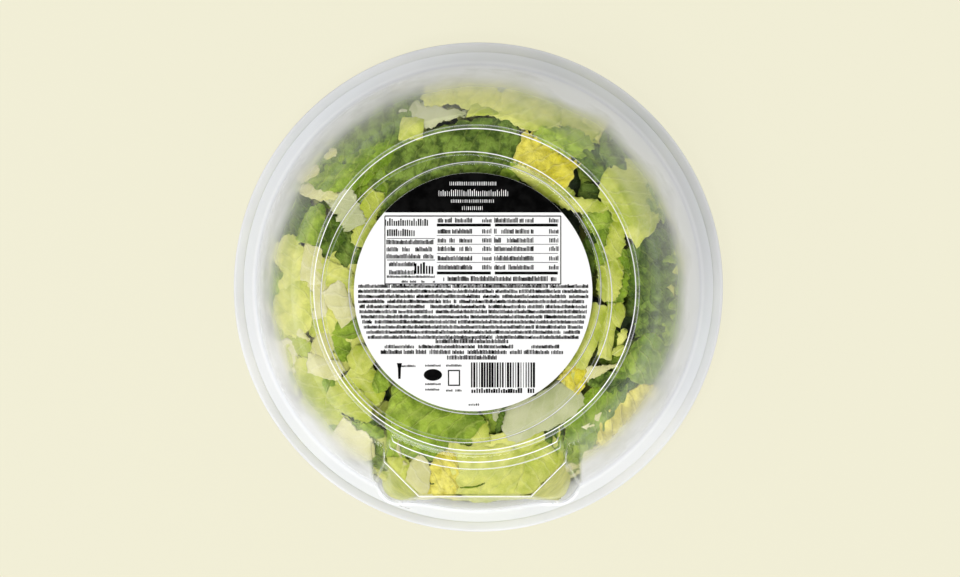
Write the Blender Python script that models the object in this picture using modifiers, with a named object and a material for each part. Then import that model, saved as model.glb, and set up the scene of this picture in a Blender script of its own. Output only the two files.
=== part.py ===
"""Sealed salad pack: a clear formed bowl of cut romaine, closed by a lid pressed over its lip.

It lies on its lid with the bowl's base up, so the paper label on the base faces up.
Metres, +Z up. The origin is on the table, under the middle of the lid.
"""

import math
import random

import bmesh
import bpy
import numpy as np

MM = 0.001

# Driving dimensions
PACK_RADIUS = 97.0 * MM
PACK_HEIGHT = 66.0 * MM
WALL = 0.8 * MM
GAP = 0.3 * MM
SEED = 12

# Bowl, outer skin. Heights are above the table
FOOT_RADIUS = 63.2 * MM
SHOULDER_START = (64.6 * MM, PACK_HEIGHT - 1.2 * MM)
SHOULDER_PULL = (84.0 * MM, 58.0 * MM)
WALL_END = (88.0 * MM, 12.5 * MM)
WALL_POINTS = 7
FLANGE_HEIGHT = 10.8 * MM
FLANGE_RADIUS = 95.4 * MM
FLANGE_ROOT = 90.0 * MM
LIP_DROP = 2.2 * MM

# Steps of the base, inside the foot ring. Each has its own centre, radius at mid-height and floor
SHELF_CENTRE = (-3.3 * MM, -3.0 * MM)
SHELF_RADIUS = 56.3 * MM
SHELF_HEIGHT = PACK_HEIGHT - 2.0 * MM
PANEL_CENTRE = (0.0 * MM, 0.6 * MM)
PANEL_RADIUS = 49.4 * MM
PANEL_HEIGHT = PACK_HEIGHT - 3.0 * MM
STEP_RUN = 1.2 * MM

# Flat-ended tab that stands out of the bowl's side, towards -Y
TAB_TOP = PACK_HEIGHT - 3.4 * MM
TAB_FOOT = FLANGE_HEIGHT - 0.4 * MM
TAB_HALF_WIDTH = (35.8 * MM, 40.0 * MM)
TAB_REACH = (81.5 * MM, 85.6 * MM)
TAB_CORNER = (13.8 * MM, 8.0 * MM)
TAB_ROOT = 40.0 * MM
CORNER_POINTS = 5
COLLAR_RADII = (67.8 * MM, 70.6 * MM)
COLLAR_ROOT = 62.2 * MM
COLLAR_TOP = PACK_HEIGHT - 1.5 * MM
COLLAR_HALF_ANGLE = math.radians(28.5)

# Lid
LID_WALL = 0.8 * MM
LID_PANEL_RADIUS = 80.0 * MM
LID_FLANGE_HEIGHT = 7.5 * MM
LID_FLANGE_ROOT = 86.0 * MM
SKIRT_TOP = 12.2 * MM
BEAD_REACH = 1.0 * MM

# Label
LABEL_RADIUS = 46.8 * MM
LABEL_THICKNESS = 0.35 * MM
LABEL_CENTRE = (-0.7 * MM, -1.0 * MM)

# Salad
LINER = WALL + 2.0 * GAP
BED = 4.6 * MM
CORE_FOOT = 1.1 * MM
CORE_FOOT_RADIUS = 73.5 * MM
CORE_SIDE = (80.6 * MM, 10.0 * MM)
LEAF_THICKNESS = 1.3 * MM
LEAF_CELLS = (4, 3)
WALL_LEAVES = 20

TURN_STEPS = 48
CORE_STEPS = 32
LABEL_STEPS = 48

# The cut leaves that show, placed in plan: x, y, turn in degrees, length, width, in mm.
# Those of the base and the tab lie flat under them, and the others wrap down the side.
BASE_LEAVES = [
    (-20, 52, 22, 52, 24),
    (-43, 33, 48, 40, 20),
    (29, 50, -33, 32, 17),
    (30, 39, -32, 34, 16),
    (46, 37, -50, 30, 18),
    (53, 20, -62, 34, 20),
    (53, -5, 88, 32, 19),
    (48, -27, 68, 36, 19),
    (31, -46, 28, 40, 24),
    (48, -44, 45, 30, 18),
    (-14, -52, -12, 48, 25),
    (-40, -35, -50, 40, 23),
    (-52, -8, -64, 32, 19),
    (-52, 16, 74, 36, 17),
    (-22, -71, 86, 28, 14),
    (-8, -70, 80, 26, 15),
    (9, -69, 90, 26, 22),
    (27, -69, 78, 24, 15),
]
SIDE_LEAVES = [
    (-50, 57, 40, 44, 32),
    (-13, 73, 8, 30, 22),
    (8, 78, -4, 44, 28),
    (32, 66, -24, 34, 24),
    (53, 54, -55, 36, 24),
    (71, 35, -58, 42, 30),
    (76, 3, 88, 44, 28),
    (73, -24, 70, 34, 28),
    (62, -45, 48, 40, 24),
    (-67, 30, 62, 32, 26),
    (-76, 2, 92, 40, 28),
    (-71, -30, -64, 38, 28),
    (-55, -49, -46, 40, 24),
]


def clear_scene():
    """Removes what the startup file brings."""
    for obj in list(bpy.data.objects):
        bpy.data.objects.remove(obj, do_unlink=True)


def collection(name):
    """A new collection in the scene."""
    made = bpy.data.collections.new(name)
    bpy.context.scene.collection.children.link(made)
    return made


def material(name, colour, roughness, alpha=1.0):
    """A Principled material of one colour."""
    made = bpy.data.materials.new(name)
    made.use_nodes = True
    shader = made.node_tree.nodes["Principled BSDF"]
    shader.inputs["Base Color"].default_value = (*colour, 1.0)
    shader.inputs["Roughness"].default_value = roughness
    shader.inputs["Metallic"].default_value = 0.0
    shader.inputs["Alpha"].default_value = alpha
    return made


def place(name, mesh, where, finish=None):
    """Links a new object for the mesh into a collection."""
    obj = bpy.data.objects.new(name, mesh)
    where.objects.link(obj)
    if finish is not None:
        mesh.materials.append(finish)
    return obj


def turned(name, profile, where, finish=None, steps=TURN_STEPS):
    """A solid of revolution about Z. The profile runs from the axis at its top, down its outer side."""
    mesh = bpy.data.meshes.new(name)
    points = [(radius, 0.0, height) for radius, height in profile]
    mesh.from_pydata(points, [(i, i + 1) for i in range(len(points) - 1)], [])
    obj = place(name, mesh, where, finish)
    screw = obj.modifiers.new("Turn", "SCREW")
    screw.axis = "Z"
    screw.angle = 2.0 * math.pi
    screw.steps = screw.render_steps = steps
    screw.use_merge_vertices = True
    screw.merge_threshold = 0.00001
    screw.use_smooth_shade = True
    return obj


def as_helper(obj):
    """Marks an object that only cuts or joins another."""
    obj.hide_render = True
    obj.display_type = "WIRE"
    return obj


def add_boolean(obj, other, operation):
    """Cuts the other object from this one, or joins it on."""
    step = obj.modifiers.new(f"{operation} {other.name}", "BOOLEAN")
    step.operation = operation
    step.object = other


def inset(points, distance):
    """A profile moved inwards by a distance, with mitred corners."""
    line = np.array(points)
    along = np.diff(line, axis=0)
    along /= np.linalg.norm(along, axis=1)[:, None]
    inwards = np.stack([along[:, 1], -along[:, 0]], axis=1)
    before = np.vstack([inwards[:1], inwards])
    after = np.vstack([inwards, inwards[-1:]])
    middle = before + after
    middle /= np.linalg.norm(middle, axis=1)[:, None]
    reach = distance / (middle * before).sum(axis=1)
    moved = line + middle * reach[:, None]
    return [tuple(point) for point in moved]


def shoulder(count):
    """The bowl's side from the foot ring to the flange, as points of one quadratic curve."""
    start, pull, end = (np.array(point) for point in (SHOULDER_START, SHOULDER_PULL, WALL_END))
    shares = np.linspace(0.0, 1.0, count)[:, None]
    curve = (1 - shares) ** 2 * start + 2 * shares * (1 - shares) * pull + shares**2 * end
    return [tuple(point) for point in curve]


def bowl_skin():
    """The bowl's outer skin from the axis to the foot of its side, before the base is stepped."""
    return [(0.0, PACK_HEIGHT), (FOOT_RADIUS, PACK_HEIGHT)] + shoulder(WALL_POINTS)


def flange_profile():
    """The flange and its turned-down lip, closed back to the axis."""
    lip_foot = FLANGE_HEIGHT - LIP_DROP
    return [
        (WALL_END[0] + 0.6 * MM, FLANGE_HEIGHT + 0.4 * MM),
        (FLANGE_ROOT, FLANGE_HEIGHT),
        (FLANGE_RADIUS - 0.6 * MM, FLANGE_HEIGHT),
        (FLANGE_RADIUS, FLANGE_HEIGHT - 0.6 * MM),
        (FLANGE_RADIUS, lip_foot),
        (FLANGE_RADIUS - WALL, lip_foot),
        (FLANGE_RADIUS - WALL, FLANGE_HEIGHT - WALL),
        (0.0, FLANGE_HEIGHT - WALL),
    ]


def tab_outline(share, thinner):
    """The tab's outline in plan, from its top at share 0 to its foot at share 1.

    Its corners go from straight chamfers at the top to arcs at the foot.
    """
    half = TAB_HALF_WIDTH[0] + share * (TAB_HALF_WIDTH[1] - TAB_HALF_WIDTH[0]) - thinner
    reach = TAB_REACH[0] + share * (TAB_REACH[1] - TAB_REACH[0]) - thinner
    corner = TAB_CORNER[0] + share * (TAB_CORNER[1] - TAB_CORNER[0])
    bulge = min(1.0, max(0.0, share))
    right = [(half, -TAB_ROOT)]
    for step in range(CORNER_POINTS):
        run = step / (CORNER_POINTS - 1)
        turn = run * math.pi / 2
        flat = np.array((half - run * corner, -reach + corner - run * corner))
        arc = np.array((half - corner + corner * math.cos(turn), -reach + corner - corner * math.sin(turn)))
        right.append(tuple(flat + bulge * (arc - flat)))
    return right + [(-x, y) for x, y in reversed(right)]


def loft(name, rings, where):
    """A closed solid through outlines with equal counts of points, each given with its height."""
    shape = bmesh.new()
    levels = [[shape.verts.new((x, y, height)) for x, y in outline] for outline, height in rings]
    shape.faces.new(levels[0])
    shape.faces.new(levels[-1][::-1])
    for upper, lower in zip(levels, levels[1:]):
        for i in range(len(upper)):
            j = (i + 1) % len(upper)
            shape.faces.new((upper[j], upper[i], lower[i], lower[j]))
    bmesh.ops.recalc_face_normals(shape, faces=shape.faces)
    bmesh.ops.triangulate(shape, faces=shape.faces)
    mesh = bpy.data.meshes.new(name)
    shape.to_mesh(mesh)
    shape.free()
    return as_helper(place(name, mesh, where))


def tab_solid(name, thinner, foot, where):
    """The tab as a drafted block, or its inside when it is made thinner."""
    depth = TAB_TOP - TAB_FOOT
    top = TAB_TOP - thinner
    shares = ((TAB_TOP - top) / depth, (TAB_TOP - foot) / depth)
    rings = [(tab_outline(share, thinner), height) for share, height in zip(shares, (top, foot))]
    return loft(name, rings, where)


def collar_solid(name, thinner, where):
    """The low collar between the foot ring and the tab's top, as a sector with a sloping edge."""
    half_angle = COLLAR_HALF_ANGLE - thinner / COLLAR_RADII[0]
    angles = np.linspace(-half_angle, half_angle, 11) - math.pi / 2
    foot = TAB_TOP - 2.0 * MM

    def sector(radius):
        arc = [((radius - thinner) * math.cos(a), (radius - thinner) * math.sin(a)) for a in angles]
        back = [(COLLAR_ROOT * math.cos(a), COLLAR_ROOT * math.sin(a)) for a in reversed(angles)]
        return arc + back

    slope = (COLLAR_RADII[1] - COLLAR_RADII[0]) / (COLLAR_TOP - TAB_TOP)
    foot_radius = COLLAR_RADII[1] + slope * (TAB_TOP - foot)
    rings = [(sector(COLLAR_RADII[0]), COLLAR_TOP - thinner), (sector(foot_radius), foot - thinner)]
    return loft(name, rings, where)


def add_steps(obj, grown, where):
    """Sinks the base's two steps into a solid, or grown by a wall into the bowl's inside."""
    steps = [
        ("shelf", SHELF_CENTRE, SHELF_RADIUS, SHELF_HEIGHT),
        ("panel", PANEL_CENTRE, PANEL_RADIUS, PANEL_HEIGHT),
    ]
    slope = STEP_RUN / (PACK_HEIGHT - SHELF_HEIGHT)
    top = PACK_HEIGHT + 1.0 * MM
    for name, centre, radius, floor in steps:
        foot = radius - 0.5 * STEP_RUN + grown
        head = foot + slope * (top - floor + grown)
        profile = [(0.0, top), (head, top), (foot, floor - grown), (0.0, floor - grown)]
        cutter = as_helper(turned(f"{name} {obj.name}", profile, where))
        cutter.location = (*centre, 0.0)
        add_boolean(obj, cutter, "DIFFERENCE")


def build_bowl(parts, helpers):
    """The clear bowl: skin, tab and collar joined, less the same shapes one wall thinner."""
    finish = material("clear plastic", (0.93, 0.95, 0.94), 0.08, 0.3)
    bowl = turned("bowl", bowl_skin() + flange_profile(), parts, finish)
    add_boolean(bowl, tab_solid("tab outside", 0.0, TAB_FOOT, helpers), "UNION")
    add_boolean(bowl, collar_solid("collar outside", 0.0, helpers), "UNION")
    add_steps(bowl, 0.0, helpers)
    below = FLANGE_HEIGHT - 6.0 * MM
    profile = inset(bowl_skin(), WALL)
    profile[0] = (0.0, profile[0][1])
    profile += [(WALL_END[0] - WALL, below), (0.0, below)]
    hollow = as_helper(turned("bowl inside", profile, helpers))
    add_steps(hollow, WALL, helpers)
    add_boolean(bowl, hollow, "DIFFERENCE")
    add_boolean(bowl, tab_solid("tab inside", WALL, below, helpers), "DIFFERENCE")
    add_boolean(bowl, collar_solid("collar inside", WALL, helpers), "DIFFERENCE")
    return bowl


def build_lid(parts):
    """The lid: a dished panel on the table, a flange, and a skirt with a bead over the bowl's lip."""
    finish = material("frosted plastic", (0.86, 0.86, 0.86), 0.45)
    inner = FLANGE_RADIUS + 0.5 * MM
    flange_top = LID_FLANGE_HEIGHT + LID_WALL
    bead = FLANGE_HEIGHT + GAP
    profile = [
        (0.0, LID_WALL),
        (LID_PANEL_RADIUS - 1.4 * MM, LID_WALL),
        (LID_PANEL_RADIUS + 1.4 * MM, LID_WALL + 0.8 * MM),
        (LID_FLANGE_ROOT - 0.6 * MM, flange_top),
        (inner, flange_top),
        (inner, bead),
        (inner - BEAD_REACH, bead + 0.4 * MM),
        (inner - 0.6 * BEAD_REACH, SKIRT_TOP),
        (PACK_RADIUS - 0.4 * MM, SKIRT_TOP),
        (PACK_RADIUS, SKIRT_TOP - 0.8 * MM),
        (PACK_RADIUS, LID_FLANGE_HEIGHT + 0.4 * MM),
        (PACK_RADIUS - 0.6 * MM, LID_FLANGE_HEIGHT),
        (LID_FLANGE_ROOT, LID_FLANGE_HEIGHT),
        (LID_PANEL_RADIUS + 2.2 * MM, 0.8 * MM),
        (LID_PANEL_RADIUS + 0.2 * MM, 0.0),
        (0.0, 0.0),
    ]
    return turned("lid", profile, parts, finish)


def build_label(parts):
    """The round paper label on the base panel."""
    finish = material("label paper", (0.92, 0.92, 0.91), 0.6)
    bpy.ops.mesh.primitive_cylinder_add(
        vertices=LABEL_STEPS,
        radius=LABEL_RADIUS,
        depth=LABEL_THICKNESS,
        location=(*LABEL_CENTRE, PANEL_HEIGHT + GAP + LABEL_THICKNESS / 2),
    )
    label = bpy.context.object
    label.name = label.data.name = "label"
    for owner in list(label.users_collection):
        owner.objects.unlink(label)
    parts.objects.link(label)
    label.data.materials.append(finish)
    return label


def liner_profile(depth):
    """The room for the salad in section: flat under the base, then down the side, this far inside it."""
    flat = [(0.0, TAB_TOP), (FOOT_RADIUS - 3.0 * MM, TAB_TOP)]
    side = [point for point in shoulder(24) if point[1] < TAB_TOP - 0.4 * MM]
    return inset(flat + side, LINER + depth)


class Liner:
    """The room for the salad, followed by the length of its section from the axis."""

    def __init__(self):
        self.line = np.array(liner_profile(0.0))
        self.line[0, 0] = 0.0
        steps = np.diff(self.line, axis=0)
        lengths = np.linalg.norm(steps, axis=1)
        self.runs = np.concatenate([[0.0], np.cumsum(lengths)])
        outwards = np.stack([-steps[:, 1], steps[:, 0]], axis=1) / lengths[:, None]
        self.normals = np.vstack([outwards[:1], (outwards[1:] + outwards[:-1]) / 2, outwards[-1:]])

    def run_at(self, radius):
        """The length along the section at which it reaches a radius."""
        return float(np.interp(radius, self.line[:, 0], self.runs))

    def height_at(self, radius):
        """The liner's height over a point this far from the axis."""
        return np.interp(radius, self.line[:, 0], self.line[:, 1], right=0.0)

    def point(self, flat_x, flat_y, depth):
        """The point under the skin that a point of the unrolled side lies at."""
        run = math.hypot(flat_x, flat_y)
        radius, height = (np.interp(run, self.runs, self.line[:, i]) for i in (0, 1))
        out, up = (np.interp(run, self.runs, self.normals[:, i]) for i in (0, 1))
        radius -= out * depth
        height -= up * depth
        return (radius * flat_x / run, radius * flat_y / run, height)


def in_tab(x, y, height):
    """True inside the tab's room, clear of its walls."""
    share = (TAB_TOP - height) / (TAB_TOP - TAB_FOOT)
    half = TAB_HALF_WIDTH[0] + share * (TAB_HALF_WIDTH[1] - TAB_HALF_WIDTH[0]) - LINER
    reach = TAB_REACH[0] + share * (TAB_REACH[1] - TAB_REACH[0]) - LINER
    corner = half + reach - TAB_CORNER[0] - 0.5 * MM
    return abs(x) < half and -reach < y < -TAB_ROOT and abs(x) - y < corner and height < TAB_TOP - LINER


def fits(liner, points):
    """True if all the points lie in the pack's room."""
    for x, y, height in points:
        radius = math.hypot(x, y)
        under_side = height <= liner.height_at(radius) + 0.01 * MM and radius < liner.line[-1, 0]
        above_lid = height > CORE_SIDE[1]
        if not above_lid or not (under_side or in_tab(x, y, height)):
            return False
    return True


def leaf_grid(length, width, chance):
    """A cut leaf's outline and waves: for each grid point its place along and across, and its depth."""
    across, along = LEAF_CELLS
    phase = chance.uniform(0.0, 2.0 * math.pi)
    skew = chance.uniform(-0.18, 0.18)
    grid = []
    for j in range(across + 1):
        for i in range(along + 1):
            v = 2.0 * j / across - 1.0
            u = 2.0 * i / along - 1.0
            narrow = 1.0 - 0.22 * v * v * abs(u)
            place_along = 0.5 * length * (v + skew * u) * (1.0 - 0.16 * u * u)
            place_across = 0.5 * width * u * narrow
            rim = max(abs(u), abs(v))
            wave = math.sin(3.1 * v + phase) * math.cos(2.3 * u - phase)
            depth = BED * (0.95 - 0.62 * rim**1.5) + 0.7 * MM * wave
            grid.append((place_along, place_across, max(0.15 * MM, depth)))
    return grid


def leaf_points(liner, row, chance, on_side):
    """The grid of one leaf laid in the pack: flat under the base, or wrapped down the side."""
    x, y, turn, length, width = row
    x, y, length, width = x * MM, y * MM, length * MM, width * MM
    cosine, sine = math.cos(math.radians(turn)), math.sin(math.radians(turn))
    if on_side:
        radius = math.hypot(x, y)
        run = liner.run_at(radius)
        x, y = x * run / radius, y * run / radius
    points = []
    for along, sideways, depth in leaf_grid(length, width, chance):
        flat_x = x + along * cosine - sideways * sine
        flat_y = y + along * sine + sideways * cosine
        if on_side:
            points.append(liner.point(flat_x, flat_y, depth))
        else:
            points.append((flat_x, flat_y, TAB_TOP - LINER - depth))
    return points


def leaf_object(name, points, where):
    """A thin wavy solid over a grid of points, with both faces split into triangles alike."""
    across, along = LEAF_CELLS
    row = along + 1
    faces = []
    for j in range(across):
        for i in range(along):
            a = j * row + i
            faces += [(a, a + row, a + 1), (a + 1, a + row, a + row + 1)]
    mesh = bpy.data.meshes.new(name)
    mesh.from_pydata(points, [], faces)
    middle = mesh.polygons[len(faces) // 2]
    outwards = middle.center.copy()
    outwards.z -= 0.3 * PACK_HEIGHT
    if middle.normal.dot(outwards) < 0.0:
        mesh.flip_normals()
    leaf = place(name, mesh, where)
    thicken = leaf.modifiers.new("Thickness", "SOLIDIFY")
    thicken.thickness = LEAF_THICKNESS
    thicken.offset = -1.0
    return leaf


def side_fill(chance):
    """Places down the side for the leaves between the rim and those that are set by hand."""
    rows = []
    for k in range(WALL_LEAVES):
        angle = math.radians(360.0 * k / WALL_LEAVES + chance.uniform(-4.0, 4.0))
        radius = 83.6 + 3.0 * (k % 2)
        turn = math.degrees(angle) + 90.0 * (k % 3) + chance.uniform(-25.0, 25.0)
        rows.append((radius * math.cos(angle), radius * math.sin(angle), turn, 30.0, 21.0))
    return rows


def lay_leaves(liner, where):
    """Lays the leaves that fit, each made shorter until it does."""
    chance = random.Random(SEED)
    rows = [(row, False) for row in BASE_LEAVES]
    rows += [(row, True) for row in SIDE_LEAVES + side_fill(chance)]
    count = 0
    for row, on_side in rows:
        for shrink in (1.0, 0.88, 0.76):
            x, y, turn, length, width = row
            trial = (x, y, turn, length * shrink, width * shrink)
            points = leaf_points(liner, trial, random.Random(SEED + count), on_side)
            if fits(liner, points):
                leaf_object(f"leaf {count}", points, where)
                break
        count += 1


def core_tab(helpers):
    """The salad's core inside the tab."""
    thinner = LINER + BED
    depth = TAB_TOP - TAB_FOOT
    heights = (TAB_TOP - thinner, CORE_SIDE[1])
    rings = [(tab_outline((TAB_TOP - height) / depth, thinner), height) for height in heights]
    return loft("core tab", rings, helpers)


def largest_body(mesh):
    """Keeps only the mesh's largest loose body, so that sealed hollows and scraps go."""
    shape = bmesh.new()
    shape.from_mesh(mesh)
    bmesh.ops.triangulate(shape, faces=shape.faces)
    unseen = set(shape.faces)
    bodies = []
    while unseen:
        body, front = [], [unseen.pop()]
        while front:
            face = front.pop()
            body.append(face)
            for edge in face.edges:
                for other in edge.link_faces:
                    if other in unseen:
                        unseen.discard(other)
                        front.append(other)
        bodies.append(body)
    bodies.sort(key=len)
    for body in bodies[:-1]:
        bmesh.ops.delete(shape, geom=body, context="FACES")
    shape.to_mesh(mesh)
    shape.free()


def build_salad(parts, helpers):
    """The salad: a turned core with a block in the tab, and the leaves that show joined onto it."""
    finish = material("romaine", (0.36, 0.47, 0.14), 0.5)
    liner = Liner()
    profile = liner_profile(BED)
    profile[0] = (0.0, profile[0][1])
    profile = [point for point in profile[::2] if point[1] > CORE_SIDE[1] + 6.0 * MM]
    profile += [CORE_SIDE, (CORE_FOOT_RADIUS, CORE_FOOT), (0.0, CORE_FOOT)]
    salad = turned("salad core", profile, parts, steps=CORE_STEPS)
    add_boolean(salad, core_tab(helpers), "UNION")
    leaves = collection("leaves")
    lay_leaves(liner, leaves)
    join = salad.modifiers.new("Join leaves", "BOOLEAN")
    join.operation = "UNION"
    join.operand_type = "COLLECTION"
    join.collection = leaves
    join.solver = "MANIFOLD"
    bpy.context.view_layer.update()
    graph = bpy.context.evaluated_depsgraph_get()
    mesh = bpy.data.meshes.new_from_object(salad.evaluated_get(graph))
    for leaf in list(leaves.objects):
        bpy.data.objects.remove(leaf, do_unlink=True)
    bpy.data.collections.remove(leaves)
    bpy.data.objects.remove(salad, do_unlink=True)
    largest_body(mesh)
    mesh.materials.clear()
    mesh.name = "salad"
    return place("salad", mesh, parts, finish)


def main():
    clear_scene()
    parts = collection("caesar salad")
    helpers = collection("cutters")
    build_lid(parts)
    build_bowl(parts, helpers)
    build_label(parts)
    build_salad(parts, helpers)


main()
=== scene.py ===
"""Looks of a shut salad pack: clear formed bowl, milky lid, paper label and cut romaine.

The pack lies on its lid with the bowl's base up, and its tab points along -Y.
MM turns millimetres into metres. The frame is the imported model's own.
"""

from __future__ import annotations

import logging
import math
from dataclasses import dataclass
from enum import Enum
from typing import Sequence

import bmesh
import bpy
import numpy as np
from mathutils import Matrix, Vector


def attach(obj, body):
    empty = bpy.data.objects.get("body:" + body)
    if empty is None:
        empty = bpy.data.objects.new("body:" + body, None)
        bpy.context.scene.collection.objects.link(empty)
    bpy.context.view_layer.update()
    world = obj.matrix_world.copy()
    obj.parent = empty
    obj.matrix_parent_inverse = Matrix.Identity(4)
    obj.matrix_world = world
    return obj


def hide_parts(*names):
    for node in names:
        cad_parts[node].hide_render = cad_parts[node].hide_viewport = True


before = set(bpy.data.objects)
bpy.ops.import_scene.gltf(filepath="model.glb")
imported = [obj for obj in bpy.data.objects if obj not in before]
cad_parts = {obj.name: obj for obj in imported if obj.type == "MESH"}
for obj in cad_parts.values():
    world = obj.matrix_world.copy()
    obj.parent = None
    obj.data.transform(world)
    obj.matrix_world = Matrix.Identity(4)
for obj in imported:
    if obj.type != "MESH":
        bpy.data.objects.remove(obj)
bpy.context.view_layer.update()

LOG = logging.getLogger("salad_pack")
MM = 0.001
Array = np.ndarray
Numbers = np.ndarray | float
Colour = tuple[float, float, float]
Point = tuple[float, float]
Laid = tuple[Array, dict[str, Array], Array]
Piece = bpy.types.Object
Material = bpy.types.Material
Node = bpy.types.Node
Socket = bpy.types.NodeSocket
AXIS: Point = (0.0, 0.0)


def display(red: float, green: float, blue: float) -> Colour:
    """Turns a display colour into a scene colour.

    Args:
        red: Display value from 0 to 255.
        green: Display value from 0 to 255.
        blue: Display value from 0 to 255.

    Returns:
        The linear colour, from 0 to 1.
    """
    parts = (value / 255.0 for value in (red, green, blue))
    return tuple(v / 12.92 if v <= 0.04045 else ((v + 0.055) / 1.055) ** 2.4 for v in parts)


def smooth_step(values: Numbers, low: float, high: float) -> Array:
    """Eases from 0 at low to 1 at high."""
    share = np.clip((np.asarray(values, float) - low) / (high - low), 0.0, 1.0)
    return share * share * (3.0 - 2.0 * share)


def smooth_max(first: Array, second: Array, reach: float) -> Array:
    """The larger of two lengths, with the corner between them rounded over a reach."""
    overlap = np.maximum(reach - np.abs(first - second), 0.0) / reach
    return np.maximum(first, second) + overlap**2 * reach * 0.25


def bent(start: Array, pull: Array, end: Array, share: Numbers) -> Array:
    """Places on the quadratic curve from start to end that leans towards pull."""
    return (1 - share) ** 2 * start + 2 * share * (1 - share) * pull + share**2 * end


def turned(along: Array, across: Array, degrees: float) -> tuple[Array, Array]:
    """Turns plan places about their origin."""
    cosine, sine = math.cos(math.radians(degrees)), math.sin(math.radians(degrees))
    return along * cosine - across * sine, along * sine + across * cosine


def polar(radius: float, degrees: float) -> Point:
    """The plan place at a radius and an angle."""
    return radius * math.cos(math.radians(degrees)), radius * math.sin(math.radians(degrees))


def ripple(x: Array, y: Array, seed: int, waves: int = 5) -> Array:
    """Smooth uneven relief over a plane.

    Args:
        x: First coordinate, in wavelengths.
        y: Second coordinate, in wavelengths.
        seed: Chooses the pattern.
        waves: How many plane waves are added up.

    Returns:
        Heights of about -1 to 1.
    """
    chance = np.random.default_rng(seed)
    total = np.zeros(np.broadcast(x, y).shape)
    for turn, phase, pitch in chance.uniform((0.0, 0.0, 0.7), (2 * math.pi, 2 * math.pi, 1.5), (waves, 3)):
        total += np.sin(2 * math.pi * pitch * (x * math.cos(turn) + y * math.sin(turn)) + phase)
    return total / math.sqrt(2.0 * waves)


@dataclass(frozen=True)
class Placement:
    """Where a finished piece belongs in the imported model."""

    node: str
    body: str = "root"

    def settle(self, piece: Piece) -> Piece:
        """Makes a piece stand for its node and ride its body."""
        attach(piece, self.body)
        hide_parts(self.node)
        LOG.info("%s: %d faces", piece.name, len(piece.data.polygons))
        return piece


def mesh_piece(
    name: str,
    points: Array,
    faces: Array,
    material: Material,
    attributes: dict[str, Array] | None = None,
    chart: Array | None = None,
) -> Piece:
    """Makes an object from points and faces.

    Args:
        name: The piece's name.
        points: Vertex places, in metres.
        faces: Vertex indices of each face.
        material: The piece's material.
        attributes: Values at the vertices, by name.
        chart: A place in the UV map for each vertex.

    Returns:
        The linked object.
    """
    mesh = bpy.data.meshes.new(name)
    mesh.from_pydata(np.asarray(points).tolist(), [], faces.tolist())
    for key, values in (attributes or {}).items():
        layer = mesh.attributes.new(key, "FLOAT", "POINT")
        layer.data.foreach_set("value", np.ascontiguousarray(values, np.float32).ravel())
    if chart is not None:
        corners = np.empty(len(mesh.loops), np.int32)
        mesh.loops.foreach_get("vertex_index", corners)
        layer = mesh.uv_layers.new(name="surface")
        layer.data.foreach_set("uv", chart[corners].astype(np.float32).ravel())
    mesh.materials.append(material)
    mesh.shade_smooth()
    mesh.update()
    piece = bpy.data.objects.new(name, mesh)
    bpy.context.scene.collection.objects.link(piece)
    return piece


def grid_faces(rows: int, columns: int, closed: bool, first: int = 0) -> Array:
    """Quads over a grid of vertices.

    Args:
        rows: Rows of vertices.
        columns: Vertices in a row.
        closed: Whether the last column joins the first.
        first: Index of the first vertex.

    Returns:
        Four indices for each quad.
    """
    spans = columns if closed else columns - 1
    row, column = np.meshgrid(np.arange(rows - 1), np.arange(spans), indexing="ij")
    row, column = row.ravel(), column.ravel()
    after = (column + 1) % columns
    corners = (row * columns + column, (row + 1) * columns + column)
    corners += ((row + 1) * columns + after, row * columns + after)
    return np.stack(corners, axis=1) + first


def weld(piece: Piece, distance: float = 0.002 * MM) -> None:
    """Merges a piece's doubled vertices, such as a pole's."""
    shape = bmesh.new()
    shape.from_mesh(piece.data)
    bmesh.ops.remove_doubles(shape, verts=shape.verts, dist=distance)
    shape.to_mesh(piece.data)
    shape.free()


def solidify(piece: Piece, thickness: float) -> None:
    """Gives a sheet its wall, inwards from its outer face."""
    wall = piece.modifiers.new("Wall", "SOLIDIFY")
    wall.thickness = thickness
    wall.offset = -1.0
    wall.use_rim = True


def made_plain(piece: Piece) -> Piece:
    """Turns a piece's modifiers into a plain mesh, and removes them."""
    bpy.context.view_layer.update()
    graph = bpy.context.evaluated_depsgraph_get()
    mesh = bpy.data.meshes.new_from_object(piece.evaluated_get(graph))
    mesh.name = piece.name
    piece.modifiers.clear()
    piece.data = mesh
    return piece


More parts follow.
